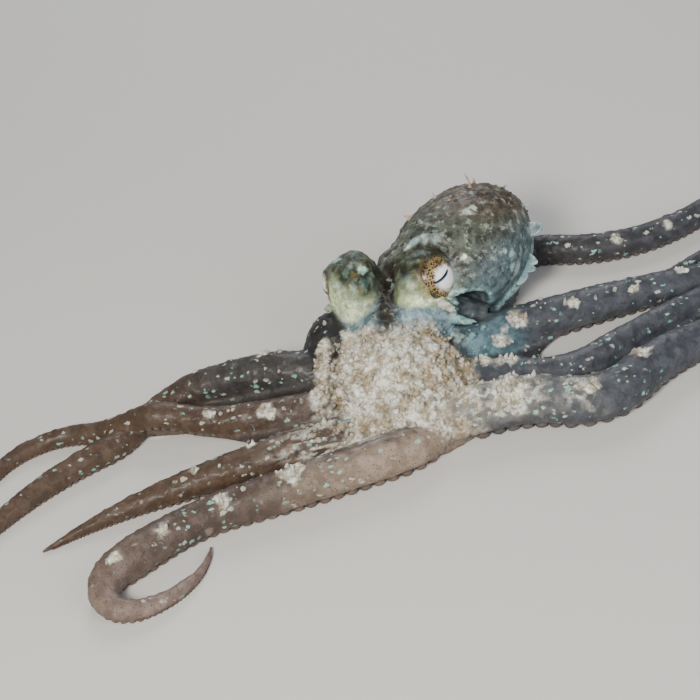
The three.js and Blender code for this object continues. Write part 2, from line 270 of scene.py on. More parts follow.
def as_object(name, bm, outward=True):
    """A new object of the bmesh, with its faces turned outwards."""
    if outward:
        bmesh.ops.recalc_face_normals(bm, faces=bm.faces)
    mesh = bpy.data.meshes.new(name)
    bm.to_mesh(mesh)
    bm.free()
    return linked(name, mesh)


def applied(made):
    """Turns the object's modifiers into its mesh."""
    graph = bpy.context.evaluated_depsgraph_get()
    mesh = bpy.data.meshes.new_from_object(made.evaluated_get(graph))
    made.modifiers.clear()
    made.data = mesh
    return made


# The mantle is cut open round the siphon before it joins the rest
sack = as_object("sack", ellipsoid(MANTLE, WALL))
hollow = as_object("hollow", ellipsoid(OPENING, 0))
cut = sack.modifiers.new("open", "BOOLEAN")
cut.object = hollow
cut.operation = "DIFFERENCE"
cut.solver = "EXACT"
applied(sack)
body = bmesh.new()
body.from_mesh(sack.data)
bpy.data.objects.remove(hollow)
bpy.data.objects.remove(sack)
shapes = [ellipsoid(shape) for shape in (HUMP, APRON, SHOULDER, HEAD, NAPE, *BULGES)]
shapes += [arm_rod(arm) for arm in ARMS.values()]
shapes += [web_sheet(ARMS[one], ARMS[two], reach) for one, two, reach in WEBS]
shapes.append(siphon_tube())
for shape in shapes:
    shape = as_object("shape", shape)
    body.from_mesh(shape.data)
    bpy.data.objects.remove(shape)
skin = as_object("octopus_skin", body, outward=False)
melt = skin.modifiers.new("melt", "REMESH")
melt.mode = "VOXEL"
melt.voxel_size = VOXEL
applied(skin)


def numbers(mesh, what="vertices", field="co", width=3, kind=np.float32):
    """One field of the mesh's vertices, edges, faces or corners, a row for each."""
    values = np.empty(len(getattr(mesh, what)) * width, kind)
    getattr(mesh, what).foreach_get(field, values)
    return values.reshape(-1, width).astype(np.int64 if kind == np.int32 else float)


def within(points, shape):
    """How far out the points lie of an ellipsoid: 0 at its centre, 1 on its surface."""
    place = frame_along(shape["heading"], shape.get("pitch", 0), shape["centre"]).inverted()
    local = points @ np.array(place.to_3x3()).T + np.array(place.translation)
    return np.linalg.norm(local / np.array(shape["radii"]), axis=1), local


def nearest(points, shapes):
    """How far out the points lie of the shape that they are nearest to, on the same scale."""
    return np.min([within(points, shape)[0] for shape in shapes], axis=0)


def along_arms(points):
    """Each point's nearest arm, its distance along it, across it to the left and over its line,
    the last two as shares of the arm's half width and half height there."""
    tree, marks = KDTree(sum(int(arm_total(arm) * 2) + 1 for arm in ARMS.values())), []
    for number, arm in enumerate(ARMS.values()):
        for s in np.arange(0, arm_total(arm), 0.5):
            x, y, heading = (float(value) for value in arm_line(arm, s))
            wide, high, lift = (float(value) for value in arm_size(arm, s))
            tree.insert((x, y, high * ARM_SEAT + lift), len(marks))
            marks.append((number, s, x, y, heading, wide, high, high * ARM_SEAT + lift))
    tree.balance()
    marks = np.array(marks)
    near = marks[[tree.find(point)[1] for point in points]]
    dx, dy = points[:, 0] - near[:, 2], points[:, 1] - near[:, 3]
    ahead = dx * np.cos(near[:, 4]) + dy * np.sin(near[:, 4])
    left = -dx * np.sin(near[:, 4]) + dy * np.cos(near[:, 4])
    return dict(arm=near[:, 0].astype(int), s=near[:, 1] + np.clip(ahead, -0.5, 0.5),
                left=left / near[:, 5], over=(points[:, 2] - near[:, 7]) / near[:, 6])


def noise_at(points, size, octaves=3, shift=0.0):
    """Fractal noise of about -1 to 1 whose lumps are the size given, in millimetres."""
    scaled = points / size + shift
    return np.array([noise.fractal(Vector(at), 1.0, 2.0, octaves) for at in scaled])


points = numbers(skin.data)
edges = numbers(skin.data, "edges", "vertices", 2, np.int32)
where = along_arms(points)
crown = 1 - smooth(nearest(points, (*CROWN, SHOULDER)), 1.0, 1.14)
head = 1 - smooth(nearest(points, FACE), 1.0, 1.12)
mantle = 1 - smooth(within(points, MANTLE)[0], 1.02, 1.1)

# Soft joins: the melted surface is relaxed where shapes meet, and least on the thin arms
ease = np.clip(np.maximum(0.12, 1 - smooth(where["s"], 24, 42)), 0, 1)
ease = np.maximum(ease, np.maximum(np.maximum(crown, 0.5 * head), mantle))
ease[within(points, dict(OPENING, radii=(6.5, 5.5, 5.5)))[0] < 1] = 0.25
RELAXING = 44  # turns over the whole skin


def relaxed(points, edges, ease, turns):
    """The points drawn towards the middle of their neighbours, each by its share of ease."""
    count = np.bincount(edges.ravel(), minlength=len(points))[:, None]
    one, two = edges.T
    for turn in range(turns):
        around = np.column_stack([np.bincount(one, points[two, axis], len(points))
                                  + np.bincount(two, points[one, axis], len(points)) for axis in range(3)])
        points = points + 0.5 * ease[:, None] * (around / count - points)
    return points


points = relaxed(points, edges, ease, RELAXING)


def set_places(made, places):
    """Puts the mesh's vertices at the places."""
    made.data.vertices.foreach_set("co", np.asarray(places, np.float32).ravel())
    made.data.update()


def eye_centre(eye):
    """The middle of the eyeball."""
    return Vector(eye["centre"]) + towards(eye["heading"], eye["pitch"]) * EYE_OUT


def round_eye(points, eye):
    """The points about an eyeball: distance from its centre, angle from the middle of the lids'
    opening in degrees, and which way round it they lie, as the sine of the angle over level."""
    place = frame_along(*eye["slot"], eye_centre(eye)).inverted()
    local = points @ np.array(place.to_3x3()).T + np.array(place.translation)
    far = np.linalg.norm(local, axis=1)
    angle = np.degrees(np.arccos(np.clip(local[:, 0] / np.maximum(far, 1e-6), -1, 1)))
    rise = local[:, 2] / np.maximum(np.hypot(local[:, 1], local[:, 2]), 1e-6)
    return far, angle, rise


def keel(points):
    """How far round the mantle from its side keel the points lie, in degrees, and how far along.
    The keel lies 36 degrees under the side and climbs 1.5 degrees a millimetre."""
    local = within(points, MANTLE)[1]
    around = np.degrees(np.arctan2(local[:, 2] / MANTLE["radii"][2], -local[:, 1] / MANTLE["radii"][1]))
    return around + 36 - 1.5 * local[:, 0], local[:, 0]


def backwards(points):
    """How far back from the face the points lie."""
    return points[:, 0] * 0.29 + points[:, 1] * 0.96


def past_lids(points, eye):
    """How far round an eyeball the points lie past the lids' edge, in degrees."""
    far, angle, rise = round_eye(points, eye)
    across, upright = eye["lids"]
    return angle - (across + (upright - across) * np.abs(rise))


MOUTH = (-1.5, -7.5)
# Soft lobes of skin over the eyes and beside the head: where, how high and how wide
LOBES = [((7.6, 16.4, 21.2), 0.9, 1.1), ((9.2, 16.4, 22), 1.1, 1.2), ((11.2, 16, 22), 1.0, 1.2),
         ((13, 15.6, 21.6), 0.8, 1.1), ((14.8, 15.4, 21.2), 0.6, 0.9), ((2.6, 12.4, 16.4), 0.9, 0.8),
         ((11.4, 6.4, 12.4), 1.1, 1.1), ((14.2, 10, 13), 0.9, 1.0), ((13.2, 5.6, 10.4), 1.0, 1.0),
         ((12.2, 2.8, 6.8), 0.9, 0.8), ((-8.8, 15.6, 12.7), 0.9, 0.8), ((-6.2, 17.5, 21.3), 0.6, 0.9)]
# The crease between the left brow's lobes and the dome of its eye
BROW = [(6, 13.2, 20.2), (7.5, 13.8, 21.4), (9.2, 14.1, 21.9), (11.4, 13.8, 21.9), (13.9, 13.3, 21),
        (15.6, 12.2, 19.4), (16, 10.7, 17.7)]
# The upright fold at the crown's right side: its furrow, and the crusted ridge beyond it
FURROW = [(-10.2, 6.6, 10), (-10.8, 5.2, 9.5), (-11.7, 1, 8.2), (-12.6, -2.8, 6.4), (-13.1, -6, 4.2)]
RIDGE = [(-11.9, 6.8, 9.9), (-13.1, 5.3, 8.2), (-14.3, 2.8, 5.4), (-14.9, -0.8, 5.6), (-15.7, -4.6, 6)]


def from_line(points, line):
    """How far the points are from the line through the places."""
    away = np.full(len(points), 99.0)
    for start, end in zip(np.array(line[:-1]), np.array(line[1:])):
        run = end - start
        share = np.clip((points - start) @ run / (run @ run), 0, 1)[:, None]
        away = np.minimum(away, np.linalg.norm(points - start - share * run, axis=1))
    return away


def lobes_at(points):
    """How high the soft lobes stand at the points, as a share of each lobe's height."""
    return np.max([np.exp(-(np.linalg.norm(points - np.array(at), axis=1) / wide) ** 2)
                   for at, high, wide in LOBES], axis=0)


# The noises that shape the hide: the size of their lumps, their octaves and a shift
LUMPS, GRIT, SWELLS = (2.6, 3, 0), (0.95, 2, 40), (4.4, 2, 12)


def crust_lumps(points):
    """How high the crust's lumps of three sizes stand at the points."""
    return (0.5 * noise_at(points, *LUMPS) + 0.42 * noise_at(points, *GRIT)
            + 0.7 * noise_at(points, *SWELLS))


def streaks_at(points):
    """Long thin wrinkles along the front of the crown."""
    return noise_at(points * (0.2, 1, 1), 0.9, 2, 9)


def from_middle(points):
    """How far the points lie from the plane half-way between the two eye bulges."""
    left, right = (Vector(eye["centre"]) for eye in EYES.values())
    return (points - np.array((left + right) / 2)) @ np.array((left - right).normalized())


# The faces round the lids' edges are cut finer
set_places(skin, points)
fine = bmesh.new()
fine.from_mesh(skin.data)
rim = np.zeros(len(points), bool)
for eye in EYES.values():
    far, angle, rise = round_eye(points, eye)
    rim |= (np.abs(angle - eye["lids"][0] - 3) < 15) & (far < EYE_RADIUS + 1.5)
fine.verts.ensure_lookup_table()
edges = [e for e in fine.edges if rim[e.verts[0].index] and rim[e.verts[1].index]]
bmesh.ops.subdivide_edges(fine, edges=edges, cuts=1, use_grid_fill=True)
bmesh.ops.triangulate(fine, faces=[f for f in fine.faces if len(f.verts) > 4])
fine.to_mesh(skin.data)
fine.free()

points = numbers(skin.data)
normals = numbers(skin.data, "vertex_normals", "vector")
where = along_arms(points)
crown_at = nearest(points, CROWN)
crown = 1 - smooth(crown_at, 1.02, 1.2)
mantle = 1 - smooth(within(points, MANTLE)[0], 1.03, 1.12)
head = (1 - smooth(nearest(points, FACE), 1.0, 1.15)) * (1 - mantle)
raised = np.zeros(len(points))

# Lumps: coarse and fine on the crown and the mantle, faint on the head and along the arms
lumps, grit = noise_at(points, *LUMPS), noise_at(points, *GRIT)
warts = smooth(noise_at(points, 1.5, 2, 70), 0.15, 0.6)
bulbs = 1 - smooth(nearest(points, BULGES), 1.0, 1.2)
arms_only = 1 - np.maximum(crown, np.maximum(mantle, head))
raised += crown * crust_lumps(points)
raised += mantle * (0.26 * lumps + 0.07 * grit + 0.16 * warts)
raised += head * (1 - 0.6 * bulbs) * (0.2 * lumps + 0.08 * grit + 0.22 * warts)
raised += arms_only * (0.14 * lumps + 0.05 * grit + 0.16 * warts * smooth(where["over"], -0.2, 0.5))
# Folds: upright ones at the crown's right side, and long wrinkles where it runs into arm 1
bearing = np.degrees(np.arctan2(points[:, 1] + 4, points[:, 0]))
side = bump(np.abs(bearing), (165, 1, 22)) * smooth(crown_at, 0.85, 0.98)
side *= 1 - smooth(crown_at, 1.25, 1.5)
raised += 0.4 * side * np.sin(np.radians(bearing) * 26 + 2 * lumps)
raised -= 0.9 * bump(from_line(points, FURROW), (0, 1, 0.7))
raised += 0.7 * bump(from_line(points, RIDGE), (0, 1, 1.1)) * (0.8 + 0.6 * grit)
front = bump(points[:, 0], (-12, 1, 10)) * bump(points[:, 1], (-18, 1, 5)) * smooth(points[:, 2], 2.5, 5)
raised += 0.5 * front * streaks_at(points)
# Creases that set the eye bulges off from the head, deepest between the two
for eye, bulge in zip(EYES.values(), BULGES):
    inside, local = within(points, bulge)
    raised -= (1 - mantle) * bump(inside, (1.22, 1, 0.15)) * (1 - smooth(local[:, 0], 1, 4))
    raised += 0.35 * bump(inside, (1.0, 1, 0.1)) * (1 - smooth(local[:, 0], 0, 3))
    far, angle, rise = round_eye(points, eye)
    ring = bump(angle, (74, 1, 16)) * (1 - smooth(far, EYE_RADIUS + 1.5, EYE_RADIUS + 3))
    raised += 0.04 * ring * np.sin(np.radians(angle) * 42 + 2 * lumps)
raised -= (1.5 * bump(from_middle(points), (0, 1, 2.5)) * head * smooth(points[:, 2], 11, 15)
           * (1 - smooth(backwards(points), 14.5, 17.5)))
raised -= 0.85 * bump(from_line(points, BROW), (0, 1, 0.75))
# Soft lobes over the brows and beside the head
for at, high, wide in LOBES:
    away = np.linalg.norm(points - np.array(at), axis=1)
    raised += high * np.exp(-(away / wide) ** 2) * (1 + 0.35 * grit)
# A thin keel runs along the mantle's side and down to its opening
ridge, place = keel(points)
raised += mantle * 1.4 * np.exp(-(ridge / 3.4) ** 2) * bump(place, (3, 1, 10)) * (0.8 + 0.6 * lumps)
raised[points[:, 2] < 1] *= 0.3
# The mouth, where the arms meet underneath: a pit inside a puckered ring of lips
out = points[:, :2] - MOUTH
ring = np.hypot(out[:, 0], out[:, 1])
ring = ring * (1 + 0.06 * np.sin(np.arctan2(out[:, 1], out[:, 0]) * 14))
beneath = points[:, 2] < 1.5
points += normals * raised[:, None]
mouth = 2.2 * (1 - smooth(ring, 0.7, 1.6)) + 0.5 * bump(ring, (2.8, 1, 0.7))
points[beneath, 2] += mouth[beneath]

# The eyes' openings: the skin dives under the ball inside the lids' edge and rolls over outside it
loose = np.zeros(len(points))
for eye in EYES.values():
    far, angle, rise = round_eye(points, eye)
    middle = np.array(eye_centre(eye))
    past = past_lids(points, eye) + 0.8 * noise_at(points, 2, 1, 77)
    thick = 0.22 + 0.3 * np.clip(rise, 0, 1)
    roll = EYE_RADIUS + thick * (smooth(past, -1.5, 3.5) - 0.45 * smooth(past, 4, 16))
    roll -= 1 - smooth(past, -4.5, 0.2)
    near = (far < EYE_RADIUS + 3) & (angle < 80)
    pull = 1 - smooth(far, EYE_RADIUS + 1.1, EYE_RADIUS + 2.8)
    blend = smooth(past, 9, 22)
    aim = np.where(past < 9, roll, np.maximum(roll, 0) * (1 - blend) + far * blend)
    aim = np.where(past > 0, np.maximum(aim, far * smooth(past, 3, 12)), aim)
    points[near] = (middle + (points - middle) * (1 + pull * (aim / far - 1))[:, None])[near]
    fade = smooth(past, 2, 6) * (1 - smooth(past, 20, 32)) * (far < EYE_RADIUS + 3)
    loose = np.maximum(loose, fade * (1 - bump(from_line(points, BROW), (0, 1, 1.1))))
# The lids' outer side fades softly into the bulge, and the skin stays over the ball all round it
LID_RELAXING, LID_THICK, SOLE_AT = 16, 0.25, 0.12
points = relaxed(points, numbers(skin.data, "edges", "vertices", 2, np.int32), loose, LID_RELAXING)
for eye in EYES.values():
    far = round_eye(points, eye)[0]
    cover = EYE_RADIUS + LID_THICK
    sunk = (past_lids(points, eye) > 4) & (far < cover) & (far > EYE_RADIUS - 3)
    middle = np.array(eye_centre(eye))
    points[sunk] = (middle + (points - middle) * (cover / far)[:, None])[sunk]
points[:, 2] = np.maximum(points[:, 2], SOLE_AT)
set_places(skin, points)

thin = skin.modifiers.new("thin", "DECIMATE")
thin.ratio = SKIN_TRIANGLES / sum(len(p.vertices) - 2 for p in skin.data.polygons)
thin.use_collapse_triangulate = True
applied(skin)

points = numbers(skin.data)
normals = numbers(skin.data, "vertex_normals", "vector")


def to_linear(colour):
    """An sRGB hex colour as linear red, green and blue."""
    parts = [int(colour[i:i + 2], 16) / 255 for i in (1, 3, 5)]
    return np.array([c / 12.92 if c <= 0.04045 else ((c + 0.055) / 1.055) ** 2.4 for c in parts])


def markings(points):
    """The hide's markings at the points: two tones to be mottled together, and how much cream
    crust, mint fleck, dark pepper and pale fleck each place has."""
    where = along_arms(points)
    s, left, names = where["s"], where["left"], list(ARMS)

    def on(*arms):
        """Which points are nearest to one of the arms."""
        return np.isin(where["arm"], [names.index(arm) for arm in arms])

    crown_at = nearest(points, CROWN)
    mantle_at, mantle_local = within(points, MANTLE)
    mantle = 1 - smooth(mantle_at, 1.04, 1.14)
    hollow_at = within(points, OPENING)[0]
    opening = 1 - smooth(hollow_at, 0.9, 1.25)
    face = 1 - smooth(nearest(points, FACE), 1.0, 1.15)
    head = face * (1 - mantle)
    back = backwards(points)
    blot = noise_at(points, 5, 2, 3)
    ragged = noise_at(points, 2.2, 3, 21)
    grain = noise_at(points, 1.1, 2, 63)

    # The cream crust covers the front of the crown, up to below the eyes, its patches on the arms
    # and the ridge at its right side, and thins out in streaks and specks over arms 1
    cream = 1 - smooth(crown_at + 0.14 * blot + 0.1 * ragged, 1.04, 1.2)
    cream *= (1 - smooth(back + blot + ragged, 3, 6.5)) * smooth(points[:, 2] + ragged, 1.5, 4)
    for name, out, aside, radius in PATCHES:
        x, y, heading = arm_line(ARMS[name], out)
        wide, high, lift = arm_size(ARMS[name], out)
        at = (x - np.sin(heading) * aside * wide, y + np.cos(heading) * aside * wide,
              high * (ARM_SEAT + math.sqrt(1 - aside * aside)) + lift)
        away = np.linalg.norm(points - np.array([float(value) for value in at]), axis=1)
        cream = np.maximum(cream, 1 - smooth(away + 0.9 * radius * ragged, radius * 0.7, radius * 1.15))
    cream = np.maximum(cream, 1 - smooth(from_line(points, RIDGE) + 1.1 * ragged, 0.9, 2.0))
    # Painted shade in the furrow at the crown's right side, where the crust is thinned
    furrow = bump(from_line(points, FURROW) + 0.3 * ragged, (0, 1, 0.75))
    cream *= 1 - 0.8 * furrow
    lobe = smooth(lobes_at(points), 0.15, 0.6) * (1 - cream)
    wrinkled = np.minimum(2 * bump(points[:, 0], (-13, 1, 8)) * bump(points[:, 1], (-17, 1, 4)), 1)
    wrinkled *= smooth(points[:, 2], 2.5, 5) * smooth(streaks_at(points), -0.05, 0.25)
    cream = np.maximum(cream, 0.85 * wrinkled)
    # Painted shade: the arms' sides and the web between them are darkened
    web = smooth(np.abs(left), 0.95, 1.25) * (1 - cream) * smooth(s, 5, 12)
    strewn = on("left_1") * (1 - smooth(s + 6 * blot, 18, 42)) * smooth(where["over"], -0.4, 0.4)
    cream = np.maximum(cream, 0.9 * strewn * smooth(ragged + 0.4 * grain, 0.0, 0.3))
    dome = cream * (1 - smooth(crown_at, 1.2, 1.4))
    # Brown blots in the crust, and painted shade darkening the dome's left side
    tan = dome * np.clip(0.65 * smooth(noise_at(points, 4.2, 2, 33), -0.2, 0.4)
                         + 0.55 * smooth(points[:, 0], 3, 9), 0, 1)
    # Painted shade in the hollows between the crust's lumps
    crease = 0.75 * dome * smooth(-crust_lumps(points), 0.05, 0.5)

    # The arms are brown at the right and grey at the left
    leftward = smooth(points[:, 0], 4, 16)
    length = np.array([arm_total(arm) for arm in ARMS.values()])[where["arm"]]
    brown = 0.55 * smooth(s, 14, 34) * on("right_2", "right_3", "right_4")
    gold = smooth(-left, 0.1, 0.9) * (1 - leftward) * 0.8
    tip = smooth(s / length, 0.5, 0.85) * on("right_1")
    warm = 0.7 * on("right_1") * (1 - smooth(s + 5 * blot, 20, 44)) * smooth(left + 0.4 * ragged, -0.3, 0.6)
    # Painted shade on the rear right arm's root, where it lies behind the crown
    rear_root_shade = on("right_4") * (1 - smooth(s, 28, 50))
    shade = on("left_4") * smooth(s, 20, 34) * (1 - 0.6 * smooth(s, 48, 72))
    teal = smooth(points[:, 0], 11, 15) * (1 - smooth(points[:, 0], 21, 28)) * bump(points[:, 1], (1, 1, 5))
    under = (1 - smooth(where["over"], -0.75, -0.1)) * (1 - smooth(np.abs(left), 0.85, 1.0))
    # Painted shade: the raised web behind the crown is darkened
    raised_web_shade = 1 - smooth(within(points, SHOULDER)[0] + 0.05 * ragged, 1.0, 1.16)
    raised_web_shade *= (1 - mantle) * smooth(-points[:, 0], 6.5, 9.5) * smooth(points[:, 2], 3, 6)

    # The eye bulges are dark above and pale below, partly their own colour and partly painted shade
    # above and painted light below. The left one is ashen behind, and rusty at the front of its lids
    bulb, low, lashes, olive, ash, rust = np.zeros((6, len(points)))
    for (side, eye), bulge in zip(EYES.items(), BULGES):
        inside, local = within(points, bulge)
        upright, angle = local[:, 2], round_eye(points, eye)[1]
        mask = 1 - smooth(inside, 1.04, 1.22)
        lit = 1 - smooth(upright + ragged, -2.6, 4)
        if side == "left":
            olive = np.maximum(olive, mask * smooth(upright + ragged, -2, 2.5))
            behind = smooth(local[:, 1] + 0.5 * ragged, -0.5, 2.5)
            lit *= 1 - behind
            ash = mask * behind * (1 - smooth(upright + ragged, 0.5, 3.5))
            rust = 0.75 * mask * (1 - behind) * bump(angle, (50, 1, 9)) * smooth(upright, -4, -1)
        else:
            olive = np.maximum(olive, 0.75 * mask * smooth(upright + ragged, 0.5, 3.5))
        low = np.maximum(low, mask * lit * smooth(upright + ragged, -6.5, -5))
        lashes = np.maximum(lashes, bump(angle, (56, 1, 12)) * mask)
        bulb = np.maximum(bulb, mask)
    dull = (1 - 0.5 * low) * (1 - 0.6 * olive)
    jade = bulb * 0.65 * dull * smooth(noise_at(points, 1.4, 2, 17), 0.0, 0.4)
    amber = bulb * 0.5 * dull * smooth(noise_at(points, 1.1, 2, 37), 0.12, 0.45)
    # Painted shade in the groove between the bulges and in the crease along the left brow
    groove_shade = 1.2 * bump(from_middle(points), (0, 1, 2.4)) * face * smooth(points[:, 2], 10, 14)
    groove_shade = np.maximum(groove_shade * (1 - smooth(back, 15, 18)), bump(from_line(points, BROW), (0, 1, 1.0)))
    groove_shade = np.clip(groove_shade, 0, 1)

    # The mantle is greenish in front, brown at the rear, blue down its flank and pale on its keel
    # and round its opening
    rear = smooth(mantle_local[:, 0] * 0.6 + mantle_local[:, 2] * 0.8, 5, 13)
    flank = smooth(-mantle_local[:, 1] - mantle_local[:, 2] * 0.5 + 1.5 * ragged, 4.5, 12.5)
    ridge, along = keel(points)
    edge = mantle * np.exp(-(ridge / 5) ** 2) * bump(along, (3, 1, 11))
    brim = 0.8 * mantle * bump(hollow_at, (1.14, 1, 0.09)) * smooth(points[:, 0], 15, 18)

    # From the plain flesh up: how much of each layer there is, and its two tones
    layers = [
        (brown, "#42301f", "#523e2b"),  # the right arms, further out
        (gold, "#41321f", "#553f28"),  # the right arms' lit side
        (tip, "#6b5b53", "#7f6e65"),  # the curled arm's end
        (warm, "#8b7a69", "#a1907f"),  # the curled arm's root
        (leftward, "#383b41", "#4a4d53"),  # the left arms
        (shade, "#2c2a2c", "#3b393c"),  # the bent rear left arm
        (teal, "#3f5a63", "#628088"),  # the left arms' roots
        (0.7 * strewn, "#77756f", "#8b8a84"),  # between the specks of crust
        (rear_root_shade, "#33312f", "#403e3d"),  # painted shade on the rear right arm's root, behind the crown
        (web * 0.8, "#2d2929", "#373232"),  # painted shade on the arms' sides and the web between them
        (under * (1 - web) * 0.8, "#574a42", "#62544b"),  # undersides
        (head, "#86a0a8", "#576d75"),
        (cream, "#dddcd2", "#a59a82"),  # the crust
        (tan, "#b3a286", "#857458"),  # its brown blots, and painted shade darkening its left side
        (crease, "#7d6f57", "#94856a"),  # painted shade in the hollows between its lumps
        (mantle, "#5a6054", "#2f312a"),
        (mantle * rear, "#372f29", "#645849"),
        (mantle * flank, "#4a5c63", "#637377"),
        (edge, "#9fc0c0", "#6d9396"),  # the mantle's keel
        (bulb, "#28312a", "#46513f"),  # eye bulges
        (olive, "#14180f", "#2a2d1c"),  # their tops, partly painted shade
        (low, "#f2ffda", "#c6d8a4"),  # their lower halves, partly painted light
        (ash, "#6d7d7c", "#8b9c9c"),  # the left one, behind
        (jade, "#6c9085", "#86a89c"),  # two kinds of speck on them
        (amber, "#8a7a44", "#a39150"),
        (rust, "#5d4824", "#80693a"),  # rim of the left lids
        # painted shade on the raised web behind the crown
        (raised_web_shade * (1 - cream), "#212022", "#2d2b2c"),
        (groove_shade, "#1f1b17", "#302a23"),  # painted shade in the groove between the bulges and along the left brow's crease
        (0.8 * furrow, "#3d3122", "#54452f"),  # painted shade in the furrow of the fold at the crown's right side
        (opening * (1 - brim), "#444c4f", "#383e41"),  # the mantle's opening and the siphon in it, darkened as painted shade, and its lip
        (brim, "#9fc0c0", "#6d9396"),
        (lobe, "#83a0a2", "#bccac2"),  # soft lobes
    ]
    tones = []
    for column, flesh in enumerate(("#463a33", "#564941")):
        tone = np.tile(to_linear(flesh), (len(points), 1))
        for share, *pair in layers:
            tone += (to_linear(pair[column]) - tone) * share[:, None]
        tones.append(tone)
    for at, radius, paint in PALE_SPOTS:
        away = np.linalg.norm(points - np.array(at), axis=1) + 0.25 * ragged
        spot = 1 - smooth(away, 0.8 * radius, 1.1 * radius)
        tones = [tone + (to_linear(paint) - tone) * spot[:, None] for tone in tones]
    arm = np.clip(1 - cream - mantle - head - bulb, 0, 1)
    mint = arm * (0.8 + 0.2 * leftward) * (1 - under) * (1 - 0.5 * web) * (1 - opening)
    pepper = (0.8 + 0.5 * on("right_1")) * arm * (1 - under) + 0.4 * cream + 0.5 * bulb + 1.2 * lashes
    fleck = (0.85 * mantle * (1 - opening) + head * 0.6) * (1 - bulb) + 0.3 * bulb
    return dict(ground=tones[0], mottle=tones[1], crust=cream, mint=mint, pepper=np.clip(pepper, 0, 1.3),
                fleck=np.clip(fleck, 0, 1), calm=arm)


def mark(made, values):
    """Stores markings on the mesh's vertices: colours as rows of three, shares as numbers."""
    for name, value in values.items():
        if value.ndim == 2:
            layer = made.data.attributes.new(name, "FLOAT_COLOR", "POINT")
            value = np.column_stack([value, np.ones(len(value))])
            layer.data.foreach_set("color", value.astype(np.float32).ravel())
        else:
            layer = made.data.attributes.new(name, "FLOAT", "POINT")
            layer.data.foreach_set("value", value.astype(np.float32))


def to_metres(made):
    """Moves the finished mesh from millimetres about the animal to metres in the frame."""
    places = numbers(made.data)
    set_places(made, (places - (*MIDDLE, 0)) * 0.001)
    for face in made.data.polygons:
        face.use_smooth = True


mark(skin, markings(points))
to_metres(skin)


def add(tree, kind, inputs=None, out=0, **settings):
    """Adds a node with its settings and gives one of its outputs. Each input is a plain value, a
    hex colour or the output that feeds it."""
    node = tree.nodes.new("ShaderNode" + kind)
    for name, value in settings.items():
        setattr(node, name, value)
    for name, value in (inputs or {}).items():
        if isinstance(value, bpy.types.NodeSocket):
            tree.links.new(value, node.inputs[name])
        else:
            node.inputs[name].default_value = (*to_linear(value), 1) if isinstance(value, str) else value
    return node.outputs[out] if node.outputs else None


def painted(tree, colour, layers):
    """Paints layers over the colour. Each is a pattern, the values at which it starts and is full,
    what weakens it, and its own colour."""
    for pattern, start, full, shares, paint in layers:
        mask = add(tree, "MapRange", {"Value": pattern, "From Min": start, "From Max": full},
                   interpolation_type="SMOOTHSTEP")
        for share in shares:
            mask = add(tree, "Math", {0: mask, 1: share}, operation="MULTIPLY")
        colour = add(tree, "Mix", {0: mask, 6: colour, 7: paint}, data_type="RGBA", out=2)
    return colour


def bare_material(name):
    """A new material and its tree, which has no nodes yet."""
    material = bpy.data.materials.new(name)
    material.use_nodes = True
    material.node_tree.nodes.clear()
    return material, material.node_tree


